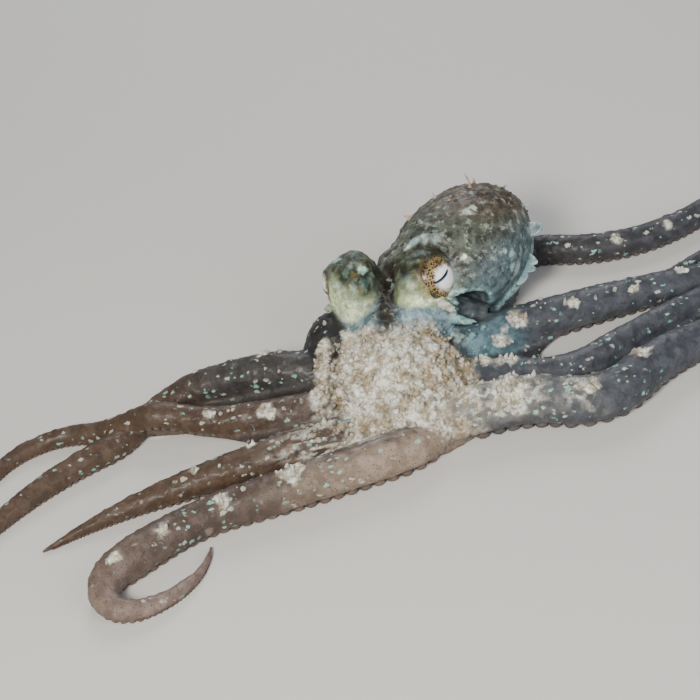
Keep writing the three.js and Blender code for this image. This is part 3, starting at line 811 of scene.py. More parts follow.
def hide_material(name):
    """Living hide: thin translucent skin over muscle, wet, with sacs of brown and cream pigment and
    mint flecks that mirror light. It reads soft and satin, with sharp small glints."""
    material, tree = bare_material(name)
    at = add(tree, "TexCoord", out="Object")
    crust, mint, pepper, fleck, calm = (add(tree, "Attribute", attribute_name=key, out="Fac")
                                        for key in ("crust", "mint", "pepper", "fleck", "calm"))
    ground, mottle = (add(tree, "Attribute", attribute_name=key, out="Color")
                      for key in ("ground", "mottle"))
    # Clouds of noise: the width of their lumps in millimetres, their octaves and their roughness
    blotch, freckle, cloud, grain, pale, deep, group, pores, bend, sway = (
        add(tree, "TexNoise", {"Vector": at, "Scale": 1000 / wide, "Detail": octaves, "Roughness": rough},
            out=out)
        for wide, octaves, rough, out in (
            (2.4, 3, 0.6, "Fac"), (0.7, 2, 0.6, "Fac"), (1.5, 5, 0.72, "Fac"), (2.1, 3, 0.6, "Fac"),
            (1.8, 5, 0.72, "Fac"), (1.3, 4, 0.75, "Fac"), (4.5, 2, 0.6, "Fac"), (0.28, 2, 0.6, "Fac"),
            (1.1, 2, 0.6, "Color"), (0.6, 2, 0.6, "Color")))
    # Cells with wavy edges: the seams between the crust's grains, for painted shade, and shut pigment sacs
    wavy = add(tree, "VectorMath", {0: bend, 1: (0.0006,) * 3, 2: at}, operation="MULTIPLY_ADD")
    seam, sac = (add(tree, "TexVoronoi", {"Vector": wavy, "Scale": 1000 / wide}, "Distance", feature=kind)
                 for wide, kind in ((1.1, "DISTANCE_TO_EDGE"), (0.5, "F1")))

    # The two tones in blotches, freckled, and in lighter and darker clouds off the arms
    colour = painted(tree, ground, [(blotch, 0.4, 0.62, (), mottle)])
    dim = add(tree, "Mix", {0: 0.3, 6: colour, 7: mottle}, data_type="RGBA", out=2)
    colour = painted(tree, colour, [(freckle, 0.5, 0.62, (0.5,), dim)])
    uneven = add(tree, "MapRange", {"Value": cloud, "From Min": 0.32, "From Max": 0.68,
                                    "To Min": 0.5, "To Max": 1.55})
    clouded = add(tree, "VectorMath", {0: colour, "Scale": uneven}, operation="SCALE")
    steady = add(tree, "Math", {0: calm, 1: 0.8}, operation="MULTIPLY")
    colour = add(tree, "Mix", {0: steady, 6: clouded, 7: colour}, data_type="RGBA", out=2)
    colour = painted(tree, colour, [
        (seam, 0.14, 0.02, (crust, 0.42), "#7d6e56"),  # painted shade: brown in the creases between grains, 1 mm apart
        (grain, 0.5, 0.64, (crust, 0.75), "#e4e5dc"),  # cream pigment on the crust's knobs
        (pale, 0.54, 0.62, (fleck, 0.62), "#a9b3a4"),  # pale flecks, 0.5 to 1 mm wide
        (deep, 0.46, 0.36, (fleck, 0.75), "#262a27"),  # dark flecks
        (sac, 0.24, 0.14, (pepper, 0.75), "#3b2c25")])  # sacs shut to brown points, 0.15 mm wide

    # Mirror cells in flecks of 0.3 to 1 mm, in loose groups, drawn out along the arms
    swayed = add(tree, "VectorMath", {0: sway, 1: (0.0009,) * 3, 2: wavy}, operation="MULTIPLY_ADD")
    drawn = add(tree, "VectorMath", {0: swayed, 1: (0.6, 1, 1)}, operation="MULTIPLY")
    cell = add(tree, "TexVoronoi", {"Vector": drawn, "Scale": 1000 / 0.95}).node.outputs
    size, hue = add(tree, "SeparateColor", {"Color": cell["Color"]}).node.outputs[:2]
    reach = add(tree, "Math", {0: size, 1: 0.6, 2: -0.1}, operation="MULTIPLY_ADD")
    inner = add(tree, "Math", {0: reach, 1: cell["Distance"]}, operation="SUBTRACT")
    grouped = add(tree, "MapRange", {"Value": group, "From Min": 0.46, "From Max": 0.57},
                  interpolation_type="SMOOTHSTEP")
    mirror = painted(tree, "#c3c8bb", [(hue, 0.35, 0.65, (), "#8fc9bd")])
    colour = painted(tree, colour, [(inner, 0.0, 0.1, (mint, grouped, 0.8), mirror)])

    wet = add(tree, "MapRange", {"Value": freckle, "To Min": 0.42, "To Max": 0.64})
    height = add(tree, "Math", {0: pores, 1: 0.5, 2: freckle}, operation="MULTIPLY_ADD")
    relief = add(tree, "Bump", {"Height": height, "Strength": 0.55, "Distance": 0.00025})
    surface = add(tree, "BsdfPrincipled", {
        "Base Color": colour, "Roughness": wet, "Normal": relief, "IOR": 1.4, "Specular IOR Level": 0.36,
        "Coat Weight": 0.08, "Coat Roughness": 0.2, "Subsurface Weight": 0.22,
        "Subsurface Radius": (1.0, 0.55, 0.4), "Subsurface Scale": 0.0012})
    add(tree, "OutputMaterial", {"Surface": surface})
    return material


hide = hide_material("living_octopus_hide")
skin.data.materials.append(hide)
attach(skin, "root")
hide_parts("mantle", "siphon", "head", "arm_crown",
            *[f"arm_{arm}_{part}" for arm in ARMS for part in ("base", "middle", "tip")])

# ---------------------------------------------------------------------------------------------
# The eyes: firm balls of clear cornea over a mirror-bright iris with a level slit of a pupil. A
# brown spotted ring surrounds the silver middle. Each sits in its bulge, held by the lids' rim.

# The pupil: how far it rises towards its rear end in degrees, half its length and half its width,
# how much its ends turn up in each millimetre out, squared, and how low it lies
PUPIL_TURN = 11.6
PUPIL_LONG, PUPIL_WIDE = 2.13, 0.25
PUPIL_SAG, PUPIL_DROP = 0.075, 0.05
PUPIL_DEEP = 0.14  # how far it is sunk into the ball
# Dark smudges over the pupil, at its rear end and beyond its front end: where, and how wide
SMUDGES = [((1.5, 2.2), "#3d2a10", 1.0), ((3.0, 0.5), "#35312e", 0.7), ((-3.2, -1.9), "#35373a", 1.0)]


def distance(tree, across, up):
    """The distance made by a way across and a way up."""
    squares = [add(tree, "Math", {0: value, 1: value}, operation="MULTIPLY") for value in (across, up)]
    both = add(tree, "Math", dict(enumerate(squares)), operation="ADD")
    return add(tree, "Math", {0: both}, operation="SQRT")


def eye_material(name):
    """Wet cornea over a silvered iris: clear gloss on top, pigment sacs and mirror cells beneath."""
    material, tree = bare_material(name)
    at = add(tree, "TexCoord", out="Object")
    side, rise = (add(tree, "Attribute", attribute_name=key, out="Fac") for key in ("side", "rise"))
    wobble = add(tree, "TexNoise", {"Vector": at, "Scale": 1000 / 1.2, "Detail": 3}, out="Fac")
    low = add(tree, "Math", {0: rise, 1: 0.6}, operation="ADD")
    rear = add(tree, "Math", {0: side, 1: 0.75}, operation="SUBTRACT")
    uneven = add(tree, "Math", {0: wobble, 1: 1.3, 2: distance(tree, rear, low)}, operation="MULTIPLY_ADD")
    # Fine spokes of the silver iris, a tenth of a millimetre apart, feathered into the gold
    angle = add(tree, "Math", {0: low, 1: rear}, operation="ARCTAN2")
    turns = add(tree, "Math", {0: angle, 1: 46.0}, operation="MULTIPLY")
    spoke = add(tree, "Math", {0: turns}, operation="SINE")
    feathered = add(tree, "Math", {0: spoke, 1: 0.18, 2: uneven}, operation="MULTIPLY_ADD")
    colour = painted(tree, "#fdfefe", [
        (feathered, 2.5, 3.7, (), "#937a4a"), (uneven, 4.1, 5.4, (), "#43351f"),
        (spoke, 0.3, 1.0, (0.12,), "#8fa6b5")])
    # Brown pigment sacs, 0.25 mm wide, crowded towards the lids
    cell = add(tree, "TexVoronoi", {"Vector": at, "Scale": 1000 / 0.45, "Randomness": 0.6}, out="Distance")
    outward = add(tree, "MapRange", {"Value": uneven, "From Min": 2.1, "From Max": 3.8},
                  interpolation_type="SMOOTHSTEP")
    reach = add(tree, "Math", {0: outward, 1: 0.56, 2: -0.1}, operation="MULTIPLY_ADD")
    inner = add(tree, "Math", {0: reach, 1: cell}, operation="SUBTRACT")
    colour = painted(tree, colour, [(inner, 0.0, 0.05, (), "#120c08")])
    for place, tone, wide in SMUDGES:
        ways = (add(tree, "Math", {0: value, 1: from_here}, operation="SUBTRACT")
                for value, from_here in zip((side, rise), place))
        away = add(tree, "Math", {0: wobble, 1: 0.9, 2: distance(tree, *ways)}, operation="MULTIPLY_ADD")
        colour = painted(tree, colour, [(away, wide + 0.6, wide - 0.4, (0.85,), tone)])
    # The pupil: a blunt-ended slit, with a painted highlight: a thin blue lower edge that reaches a little
    # further down
    square = add(tree, "Math", {0: side, 1: side}, operation="MULTIPLY")
    unbent = add(tree, "Math", {0: square, 1: -PUPIL_SAG, 2: rise}, operation="MULTIPLY_ADD")
    bow = add(tree, "Math", {0: unbent, 1: -PUPIL_DROP}, operation="SUBTRACT")
    ends = add(tree, "Math", {0: square, 1: 1 / PUPIL_LONG ** 2}, operation="MULTIPLY")
    blunt = add(tree, "Math", {0: ends, 1: ends}, operation="MULTIPLY")
    inward = add(tree, "Math", {0: 1.0, 1: blunt}, operation="SUBTRACT")
    kept = add(tree, "Math", {0: inward, 1: 0.0}, operation="MAXIMUM")
    span = add(tree, "Math", {0: kept}, operation="SQRT")
    lower_highlight = add(tree, "Math", {0: bow, 1: 0.1}, operation="ADD")
    for middle, wide, soft, shares, tone in ((lower_highlight, PUPIL_WIDE + 0.06, 0.05, (0.85,), "#3d7fb0"),
                                             (bow, PUPIL_WIDE, 0.04, (), "#050506")):
        half = add(tree, "Math", {0: span, 1: wide}, operation="MULTIPLY")
        off = add(tree, "Math", {0: middle}, operation="ABSOLUTE")
        inside = add(tree, "Math", {0: half, 1: off}, operation="SUBTRACT")
        colour = painted(tree, colour, [(inside, 0.0, soft, shares, tone)])
    ball = add(tree, "BsdfPrincipled", {"Base Color": colour, "Roughness": 0.35, "IOR": 1.38,
                                        "Coat Weight": 0.18, "Coat Roughness": 0.08})
    add(tree, "OutputMaterial", {"Surface": ball})
    return material


wet_eye = eye_material("wet_silvered_eye")
for side, eye in EYES.items():
    ball = bmesh.new()
    bmesh.ops.create_uvsphere(ball, u_segments=96, v_segments=72, radius=EYE_RADIUS - INSET)
    ball.transform(Matrix.Rotation(math.pi / 2, 4, "Y"))
    at = np.array([v.co[:] for v in ball.verts])
    mirrored = 1 if side == "left" else -1
    turn = math.radians(PUPIL_TURN)
    along = at[:, 1] * mirrored * math.cos(turn) + at[:, 2] * math.sin(turn)
    across = at[:, 2] * math.cos(turn) - at[:, 1] * mirrored * math.sin(turn)
    slit = (PUPIL_WIDE * np.sqrt(np.clip(1 - (along / PUPIL_LONG) ** 4, 0, 1))
            - np.abs(across - PUPIL_SAG * along ** 2 + PUPIL_DROP))
    sunk = PUPIL_DEEP * smooth(slit, -0.02, 0.08) * (at[:, 0] > 0)
    for v, depth in zip(ball.verts, sunk):
        v.co.x -= depth
    ball.transform(frame_along(*eye["gaze"], eye_centre(eye)))
    ball = as_object(f"eyeball_{side}", ball)
    mark(ball, {"side": along, "rise": np.where(at[:, 0] > 0, across, -9.0)})
    to_metres(ball)
    ball.data.materials.append(wet_eye)
    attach(ball, "root")
    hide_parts(f"eye_{side}")

# ---------------------------------------------------------------------------------------------
# The crust's grains: firm rounded warts of skin, 0.6 to 1.6 mm wide, packed over the front of the
# crown and in patches along the arms. They are knobs of the same hide, rooted in it.


def unwrap(points):
    """Each point's place on a flat unwrap of the hide: every arm is a strip, slit along its
    underside, and the mantle and the head with the crown are round maps about their middles."""
    where = along_arms(points)
    total = np.array([arm_total(arm) for arm in ARMS.values()])[where["arm"]]
    around = np.arctan2(where["left"], where["over"]) / (2 * math.pi) + 0.5
    place = np.column_stack([0.02 + 0.96 * where["s"] / total, 0.01 + 0.06 * where["arm"] + 0.05 * around])
    for inside, middle, centre in ((nearest(points, (*FACE, *CROWN)) < 1.25, (2, 2, 6), (0.75, 0.75)),
                                   (nearest(points, (MANTLE,)) < 1.15, MANTLE["centre"], (0.25, 0.75))):
        out = points - np.array(middle)
        flat = np.hypot(out[:, 0], out[:, 1])
        angle = np.arctan2(flat, out[:, 2]) / math.pi * 0.23
        disc = np.array(centre) + out[:, :2] / np.maximum(flat, 1e-6)[:, None] * angle[:, None]
        place[inside] = disc[inside]
    return place


def roots(share, gap, tries, seed):
    """Seeded places on the hide, a gap apart, likelier where the share of its vertices is high:
    their points, their outward directions and the share at each."""
    draw = np.random.default_rng(seed)
    faces = numbers(skin.data, "polygons", "vertices", 3, np.int32)
    corners = points[faces]
    area = np.linalg.norm(np.cross(corners[:, 1] - corners[:, 0], corners[:, 2] - corners[:, 0]), axis=1)
    weight = area * share[faces].mean(axis=1)
    chosen = draw.choice(len(faces), tries, p=weight / weight.sum())
    mix = draw.dirichlet((1, 1, 1), tries)
    at = np.einsum("ij,ijk->ik", mix, corners[chosen])
    up = np.einsum("ij,ijk->ik", mix, normals[faces[chosen]])
    kept, filled = [], {}
    for i, place in enumerate(at):
        key = tuple(np.floor(place / gap).astype(int))
        near = (filled.get((key[0] + x, key[1] + y, key[2] + z))
                for x in (-1, 0, 1) for y in (-1, 0, 1) for z in (-1, 0, 1))
        if all(other is None or np.sum((at[other] - place) ** 2) > gap * gap for other in near):
            filled[key] = i
            kept.append(i)
    up = up[kept] / np.linalg.norm(up[kept], axis=1)[:, None]
    return at[kept], up, share[faces[chosen[kept]]].mean(axis=1)


def face_rows(bm):
    """The bmesh's faces as rows of vertex numbers. They are sorted, because its operators make them
    in an order that can change from run to run."""
    return sorted(([v.index for v in f.verts] for f in bm.faces), key=sorted)


def knob(sides, rings):
    """One growth to copy: rings one above another, each given as (height, radius), and closed."""
    bm = bmesh.new()
    bmesh.ops.create_circle(bm, segments=sides, radius=rings[0][1])
    ring = bm.edges[:]
    for v in bm.verts:
        v.co.z = rings[0][0]
    for height, radius in rings[1:]:
        made = bmesh.ops.extrude_edge_only(bm, edges=ring)["geom"]
        ring = [g for g in made if isinstance(g, bmesh.types.BMEdge)]
        for v in {v for e in ring for v in e.verts}:
            v.co = Vector((v.co.x, v.co.y, 0)).normalized() * radius + Vector((0, 0, height))
    bmesh.ops.contextual_create(bm, geom=ring)
    bmesh.ops.recalc_face_normals(bm, faces=bm.faces)
    places, faces = np.array([v.co[:] for v in bm.verts]), face_rows(bm)
    bm.free()
    return places, faces


def plant(name, growth, at, up, width, height, seed, rough, flat=1.0, lean=0.0, turn=None, tones=None,
          tint=None):
    """Joins a copy of the growth at every root: stretched, leaned and roughened by a seeded draw.
    Its colours are the hide's there, tinted or replaced where asked."""
    draw = np.random.default_rng(seed)
    shape, faces = growth
    number, step = len(at), len(shape)
    width, height, flat, lean = (np.broadcast_to(np.asarray(value, float), number)[:, None, None]
                                 for value in (width, height, flat, lean))
    helper = np.where(np.abs(up[:, 2:]) < 0.8, (0.0, 0.0, 1.0), (1.0, 0.0, 0.0))
    one = np.cross(up, helper)
    one /= np.linalg.norm(one, axis=1)[:, None]
    two = np.cross(up, one)
    turn = (draw.uniform(0, 2 * math.pi, number) if turn is None else np.radians(turn))[:, None]
    one, two = one * np.cos(turn) + two * np.sin(turn), two * np.cos(turn) - one * np.sin(turn)
    copies = shape[None] * (1 + draw.normal(0, rough, (number, step, 1)))
    x, y, z = (copies[:, :, axis, None] for axis in range(3))
    places = (at[:, None] + one[:, None] * (x * width + lean * height * np.maximum(z, 0) ** 2)
              + two[:, None] * y * width * flat + up[:, None] * z * height)
    values = markings(at)
    shade = 1 + draw.normal(0, 0.14, number)[:, None]
    for key in ("ground", "mottle"):
        values[key] = np.clip(values[key] * shade, 0, 0.9)
        if tint is not None:
            values[key] = values[key] * 0.4 + tint * (0.6 if key == "mottle" else 0.45)
    values = {key: np.repeat(value, step, axis=0) for key, value in values.items()}
    joined = [[index + step * i for index in face] for i in range(number) for face in faces]
    return grown(name, places.reshape(-1, 3), joined, values, tones,
                 np.repeat(unwrap(at), step, axis=0) + 0.0015 * np.tile(shape[:, :2], (number, 1)))


def grown(name, places, faces, values, tones, spot):
    """Makes the object of one kind of growth: its mesh, its markings and its map for baking."""
    mesh = bpy.data.meshes.new(name)
    mesh.from_pydata(places.tolist(), [], faces)
    made = linked(name, mesh)
    for key, value in (tones or {}).items():
        plain = to_linear(value) if isinstance(value, str) else float(value)
        values[key] = np.zeros_like(values[key]) + plain
    mark(made, values)
    layer = mesh.uv_layers.new(name="OFBake")
    index = numbers(mesh, "loops", "vertex_index", 1, np.int32)[:, 0]
    layer.data.foreach_set("uv", spot[index].astype(np.float32).ravel())
    to_metres(made)
    made.data.materials.append(hide)
    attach(made, "root")
    return made


hide_marks = markings(points)
dome = knob(7, [(-0.5, 1.0), (0.25, 0.97), (0.75, 0.66), (1.0, 0.22)])
clumps = smooth(noise_at(points, 2.4, 2, 55), -0.35, 0.35)
at, up, share = roots(hide_marks["crust"] ** 2 * (0.06 + clumps), 0.75, 3600, 1)
draw = np.random.default_rng(2)
big = draw.random(len(at)) ** 3
width, height = (0.34 + 0.8 * big) * (0.6 + 0.4 * share), (0.26 + 0.5 * big) * (0.5 + 0.5 * share)
grains = plant("crust_grains", dome, at, up, width, height, 3,
               flat=draw.uniform(0.7, 1.0, len(at)), rough=0.12)

# Loose warts of the same kind stray out from the crust over the web and the first half of the arms
stray = np.clip(hide_marks["mint"], 0, 1) * smooth(normals[:, 2], 0.1, 0.6)
stray = stray * (1 - smooth(along_arms(points)["s"], 14, 48))
trails = smooth(noise_at(points, 3.5, 2, 91), 0.05, 0.5)
at, up, share = roots(stray * (0.003 + trails), 0.7, 110, 4)
draw = np.random.default_rng(5)
big = draw.random(len(at)) ** 3
warts = plant("arm_warts", dome, at, up, 0.22 + 0.5 * big, 0.2 + 0.4 * big, 6,
              flat=draw.uniform(0.6, 1.0, len(at)), rough=0.16,
              tones=dict(ground="#a5a59b", mottle="#6f6a60", mint=0, pepper=0, crust=0.5, fleck=0))

# ---------------------------------------------------------------------------------------------
# Papillae: thin soft spikes and flaps that the skin has raised on the mantle, the head and along
# the crown's edges. Each is a fold of hide with a pale edge.

near_skin = KDTree(len(points))
for index, point in enumerate(points):
    near_skin.insert(point, index)
near_skin.balance()
mantle_place = frame_along(MANTLE["heading"], MANTLE["pitch"], MANTLE["centre"])
spike = knob(7, [(-0.35, 1.15), (0.0, 1.0), (0.22, 0.62), (0.5, 0.42), (0.8, 0.26), (1.0, 0.1)])
frill = knob(7, [(-0.4, 1.2), (0.0, 1.08), (0.35, 0.86), (0.65, 0.6), (0.9, 0.34), (1.0, 0.16)])
# Where each stands on the mantle, in its own frame, then width, height, flatness, turn and lean
MANTLE_PAPILLAE = [((9.3, 0.8, 9.8), 0.55, 2.6, 0.8, 40, 0.5), ((13.9, -7, 3.4), 0.55, 1.7, 0.7, 90, 0.3),
                   ((12.6, 3, 6.6), 0.6, 1.2, 0.7, 120, 0.3), ((4, 6, 9.9), 0.6, 1.1, 0.8, 200, 0.4),
                   ((-2, 8, 8.9), 0.8, 1.2, 0.3, 130, 0.3), ((14.6, -1.5, 5.6), 0.5, 1.0, 0.7, 0, 0.2),
                   ((3, 1, 11.6), 0.5, 0.7, 0.7, 80, 0.3), ((-4, 3, 11.3), 0.5, 0.6, 0.8, 10, 0.3)]
# Thin frilled flaps of skin down the mantle's side: the line each stands on in the mantle's own
# frame, its height, its teeth and its slant in degrees
MANTLE_FLAPS = [
    ([(11.8, -9.1, 1.8), (11, -9.9, 0.7), (10.2, -10.4, -0.2)], 3.5, 1, 10),
    ([(9.4, -9.8, -3.4), (6, -10.8, -4.6), (2, -10.6, -6.2), (-2, -9.6, -7.6), (-6, -7.8, -8.6)], 0.7, 14, 0),
    ([(8.2, -10.1, -2.6), (6.4, -10.6, -3.9), (4.4, -10.8, -5), (2.4, -10.7, -5.8)], 2.8, 3, -10)]
# Fleshy branched papillae beside the eyes: foot, direction, width, height and colour
BRANCHES = [((14.2, 8.6, 13.4), (0.92, -0.35, 0.2), 0.75, 2.5, "#9fbfbf"),
            ((12.9, 7.4, 12.4), (0.8, -0.6, 0.1), 0.55, 1.6, "#a9c4c3"),
            ((12.5, 6.6, 11.4), (0.85, -0.5, 0), 0.5, 1.3, "#8fb6ba"),
            ((11.6, 6.2, 12.6), (0.68, -0.74, -0.3), 1.0, 2.3, "#d5d2bb"),
            ((12.9, 5.4, 9.6), (0.86, -0.5, -0.1), 0.9, 3.3, "#8fc0c4"),
            ((14.9, 2.4, 6.7), (0.5, -0.3, 0.8), 0.6, 1.3, "#7fb0b4"),
            ((17.8, 3.3, 7.1), (0.3, -0.3, 0.9), 0.5, 1.0, "#86aeb0"),
            ((12.4, 3.6, 7.4), (0.8, -0.55, 0), 0.8, 1.8, "#9fb3ac"),
            ((-8.6, 14.6, 12.6), (-0.95, -0.1, 0.2), 0.75, 1.5, "#8aa39c"),
            ((2.8, 12.6, 15.8), (0.1, -0.6, 0.8), 0.5, 1.2, "#7f9690")]
lobe = knob(9, [(-0.4, 1.2), (0.0, 1.08), (0.3, 0.92), (0.6, 0.8), (0.85, 0.66), (0.96, 0.42), (1.0, 0.16)])


def flap(name, folds, place):
    """Flaps of skin: thin sheets that stand on the hide, with a frilled, toothed free edge. The
    folds' lines are given in the frame of place."""
    parts = []
    for number, (line, height, teeth, slant) in enumerate(folds):
        share = np.linspace(0, 1, teeth * 6)
        steps = np.linspace(0, 1, len(line))
        wanted = np.column_stack([np.interp(share, steps, [at[axis] for at in line]) for axis in range(3)])
        index = [near_skin.find(place @ Vector(at))[1] for at in wanted]
        foot, up = points[index], normals[index]
        for turn in range(6):  # smooths the line of its roots
            foot[1:-1] = (foot[:-2] + foot[2:]) / 2
            up[1:-1] = (up[:-2] + up[2:]) / 2
        along = np.gradient(foot, axis=0)
        aside = np.cross(along / np.linalg.norm(along, axis=1)[:, None], up)
        rise = up * math.cos(math.radians(slant)) + aside * math.sin(math.radians(slant))
        sheet = bmesh.new()
        bmesh.ops.create_grid(sheet, x_segments=len(share) * 2, y_segments=5, size=0.5)

        def stood(at):
            u, v = at[:, 0] + 0.5, at[:, 1] + 0.5
            frill = 0.5 + 0.5 * np.abs(np.sin(math.pi * teeth * (u + 0.05 * np.sin(9 * u + number)))) ** 0.7
            high = height * np.sin(math.pi * np.clip(u, 0.01, 0.99)) ** 0.4 * (1 - v * (1 - frill))
            base, lift, wave = (np.column_stack([np.interp(u, share, values[:, axis]) for axis in range(3)])
                                for values in (foot, rise, aside))
            sway = 0.3 * v * np.sin(math.pi * teeth * u * 0.9 + number)
            return base + lift * (v * high - 0.35)[:, None] + wave * sway[:, None]

        roots_at = np.array([v.co[:] for v in sheet.verts])
        moved(sheet, stood)
        root = np.column_stack([np.interp(roots_at[:, 0] + 0.5, share, foot[:, axis]) for axis in range(3)])
        bmesh.ops.recalc_face_normals(sheet, faces=sheet.faces)
        bmesh.ops.solidify(sheet, geom=sheet.faces[:], thickness=0.3)
        places = np.array([v.co[:] for v in sheet.verts])
        root, edge = np.tile(root, (2, 1)), np.tile(roots_at[:, 1] + 0.5, 2)
        parts.append((places, face_rows(sheet), root, edge))
        sheet.free()
    places, root, edge = (np.concatenate([part[i] for part in parts]) for i in (0, 2, 3))
    faces, start = [], 0
    for part in parts:
        faces += [[index + start for index in face] for face in part[1]]
        start += len(part[0])
    values = markings(root)
    pale = smooth(edge, 0.2, 1)[:, None]
    for key, tone in (("ground", "#7c9aa0"), ("mottle", "#a9bdbb")):
        values[key] += (to_linear(tone) - values[key]) * (0.35 + 0.65 * pale)
    values["fleck"] *= 0.3
    made = grown(name, places, faces, values, None, unwrap(root) + 0.001 * np.column_stack([edge, edge]))


index = [near_skin.find(mantle_place @ Vector(row[0]))[1] for row in MANTLE_PAPILLAE]
width, height, flat, turn, lean = np.array([row[1:] for row in MANTLE_PAPILLAE]).T
every_other = np.arange(len(index))[:, None] % 2
spikes = plant("mantle_papillae", spike, points[index], normals[index], width, height, 7,
               flat=flat, lean=lean, rough=0.1, turn=turn, tones=dict(pepper=0, fleck=0.3, crust=0),
               tint=np.where(every_other, to_linear("#b9c8c0"), to_linear("#c2ab92")))
flap("mantle_flaps", MANTLE_FLAPS, mantle_place)
at, up, width, height, tint = [], [], [], [], []
for foot, way, wide, high, tone in BRANCHES:
    foot = Vector(points[near_skin.find(Vector(foot))[1]])
    way = Vector(way).normalized()
    aside = way.cross(Vector((0, 0, 1))).normalized()
    across = aside.cross(way)
    at.append(foot)
    up.append(way)
    width.append(wide)
    height.append(high)
    for along, turn in ((0.15, 10), (0.3, 190), (0.45, 60), (0.55, 250)):  # its side points
        out = aside * math.cos(math.radians(turn)) + across * math.sin(math.radians(turn))
        at.append(foot + way * along * high + out * wide * 0.55 * (1 - 0.5 * along))
        up.append((way * 0.5 + out).normalized())
        width.append(wide * 0.46 * (1.1 - 0.4 * along))
        height.append(wide * 0.75)
    tint += [to_linear(tone)] * 5
branches = plant("head_branches", lobe, np.array(at), np.array(up), np.array(width), np.array(height), 13,
                 rough=0.12, tones=dict(pepper=0, fleck=0.4, crust=0), tint=np.array(tint))
# Small ones are scattered: low nubs on the mantle and head, and points along the crown's edges
# and in the arms' patches
crown_at = nearest(points, CROWN)
bulbs = 1 - smooth(nearest(points, BULGES), 1.0, 1.2)
nubs = hide_marks["fleck"] * (1 - bulbs) * smooth(normals[:, 2], -0.6, 0.2)
edges = (bump(hide_marks["crust"], (0.5, 1, 0.25)) * (1 - smooth(crown_at, 1.2, 1.35))
         * smooth(points[:, 2], 3, 6))
tufts = smooth(hide_marks["crust"], 0.5, 0.9) * smooth(crown_at, 1.3, 1.5)
cream = to_linear("#cfc8b6")
for name, growth, share, gap, tries, seed, width, height, tint, slot in (
        ("mantle_nubs", dome, nubs, 3.0, 120, 8, 0.4, 0.26, None, "mantle_skin"),
        ("crown_spikes", frill, edges, 1.2, 520, 9, 0.42, 0.7, cream, "crown_skin"),
        ("patch_spikes", frill, tufts, 0.9, 260, 10, 0.42, 0.6, cream, "arm_skin")):
    at, up, level = roots(share, gap, tries, seed)
    draw = np.random.default_rng(seed)
    size = draw.uniform(0.6, 1.3, len(at))
    made = plant(name, growth, at, up, width * size, height * size ** 2, seed,
                 flat=draw.uniform(0.5, 1, len(at)), lean=draw.uniform(0, 0.5, len(at)), rough=0.1, tint=tint)

# ---------------------------------------------------------------------------------------------
# The suckers: two rows of soft cups under each arm, of pale muscle, which the animal rests on.
# Each row's cups alternate with the other's, and they shrink towards the arm's tip.

cup = knob(10, [(1.25, 0.72), (0.7, 0.9), (0.25, 1.0), (0.0, 0.86), (0.12, 0.62), (0.75, 0.26)])
SUCKER_WIDE = 0.28  # its radius, as a share of the arm's half width
SUCKER_OUT = 0.43  # how far its row lies from the arm's middle, in the same share
SUCKER_FROM = 9.0  # how far out along its arm the first one lies
at, radius, depth = [], [], []
for arm in ARMS.values():
    s, row = SUCKER_FROM, 1
    while s < arm_total(arm) - 2:
        x, y, heading = (float(value) for value in arm_line(arm, s))
        wide, high, lift = (float(value) for value in arm_size(arm, s))
        out = SUCKER_OUT * wide * row
        at.append((x - math.sin(heading) * out, y + math.cos(heading) * out, lift + 0.03))
        radius.append(SUCKER_WIDE * wide)
        depth.append(SOLE * high)
        s += 1.03 * SUCKER_WIDE * wide
        row = -row
at, upward = np.array(at), np.tile((0.0, 0.0, 1.0), (len(at), 1))
brown, grey = to_linear("#6c5c52"), to_linear("#55555a")
suckers = plant("suckers", cup, at, upward, np.array(radius), np.array(depth), 11,
                rough=0.02, tones=dict(crust=0, mint=0, pepper=0.1, fleck=0),
                tint=brown + (grey - brown) * smooth(at[:, :1], 4, 16))

# ---------------------------------------------------------------------------------------------
# Floor, light and camera: a plain pale floor under three soft lamps, as in a studio, and a camera
# that looks down on the animal and is rolled a little.

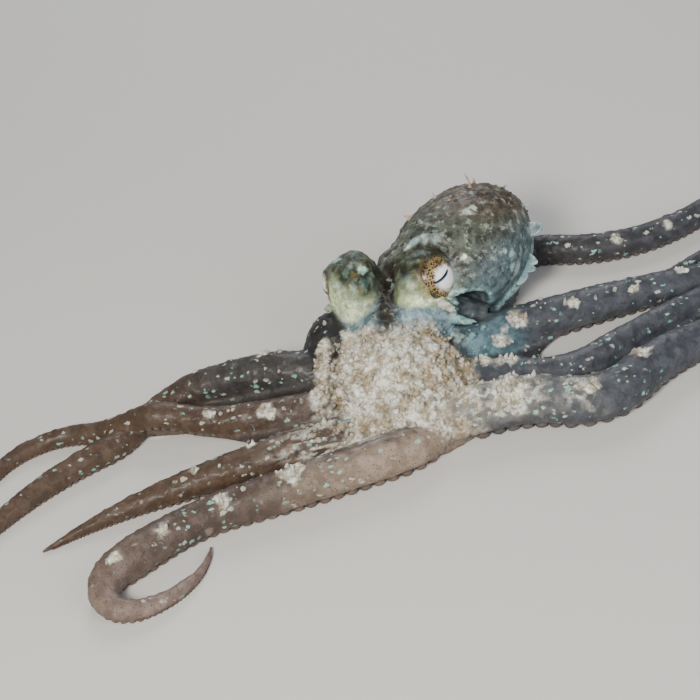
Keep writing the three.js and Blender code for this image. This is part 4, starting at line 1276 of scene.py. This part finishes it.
floor = bmesh.new()
bmesh.ops.create_grid(floor, x_segments=1, y_segments=1, size=3)
floor = as_object("floor", floor)
floor.location.z = -0.0001
paint = bpy.data.materials.new("pale_matt_floor")
paint.use_nodes = True
shader = paint.node_tree.nodes["Principled BSDF"]
shader.inputs["Base Color"].default_value = (*to_linear("#c9c7c2"), 1)
shader.inputs["Roughness"].default_value = 0.9
floor.data.materials.append(paint)

world = bpy.data.worlds.new("studio")
bpy.context.scene.world = world
world.use_nodes = True
sky = world.node_tree.nodes["Background"].inputs
sky["Color"].default_value = (*to_linear("#e6e8ea"), 1)
sky["Strength"].default_value = 0.28

# The lamps: where, how wide, the power in watts and the colour. All face the animal
LAMPS = [("key", (-0.17, -0.34, 0.32), 0.14, 3.0, "#fffaf2"),
         ("fill", (0.3, -0.35, 0.25), 0.35, 1.4, "#f4f8ff"),
         ("back", (0.05, 0.42, 0.34), 0.25, 1.5, "#f6f9ff")]
LAMP_AIM = Vector((0, 0, 0.01))
for name, place, wide, power, colour in LAMPS:
    light = bpy.data.lights.new(name, "AREA")
    light.size = wide
    light.energy = power
    light.color = to_linear(colour)
    lamp = linked(name, light)
    lamp.location = place
    lamp.rotation_euler = (LAMP_AIM - Vector(place)).to_track_quat("-Z", "Y").to_euler()

# The camera: its place, lens and sensor width in millimetres, how far it looks down and its roll
CAMERA_AT = (-0.01005, -0.29275, 0.2202)
LENS, SENSOR = 100, 36
ELEVATION = math.radians(35)
ROLL = math.radians(14)
ahead = Vector((0, math.cos(ELEVATION), -math.sin(ELEVATION)))
above = Vector((0, math.sin(ELEVATION), math.cos(ELEVATION)))
right = Vector((1, 0, 0)) * math.cos(ROLL) - above * math.sin(ROLL)
upward = Vector((1, 0, 0)) * math.sin(ROLL) + above * math.cos(ROLL)
camera = linked("camera", bpy.data.cameras.new("camera"))
camera.data.lens = LENS
camera.data.sensor_width = SENSOR
camera.matrix_world = Matrix.Translation(CAMERA_AT) @ Matrix((right, upward, -ahead)).transposed().to_4x4()
bpy.context.scene.camera = camera
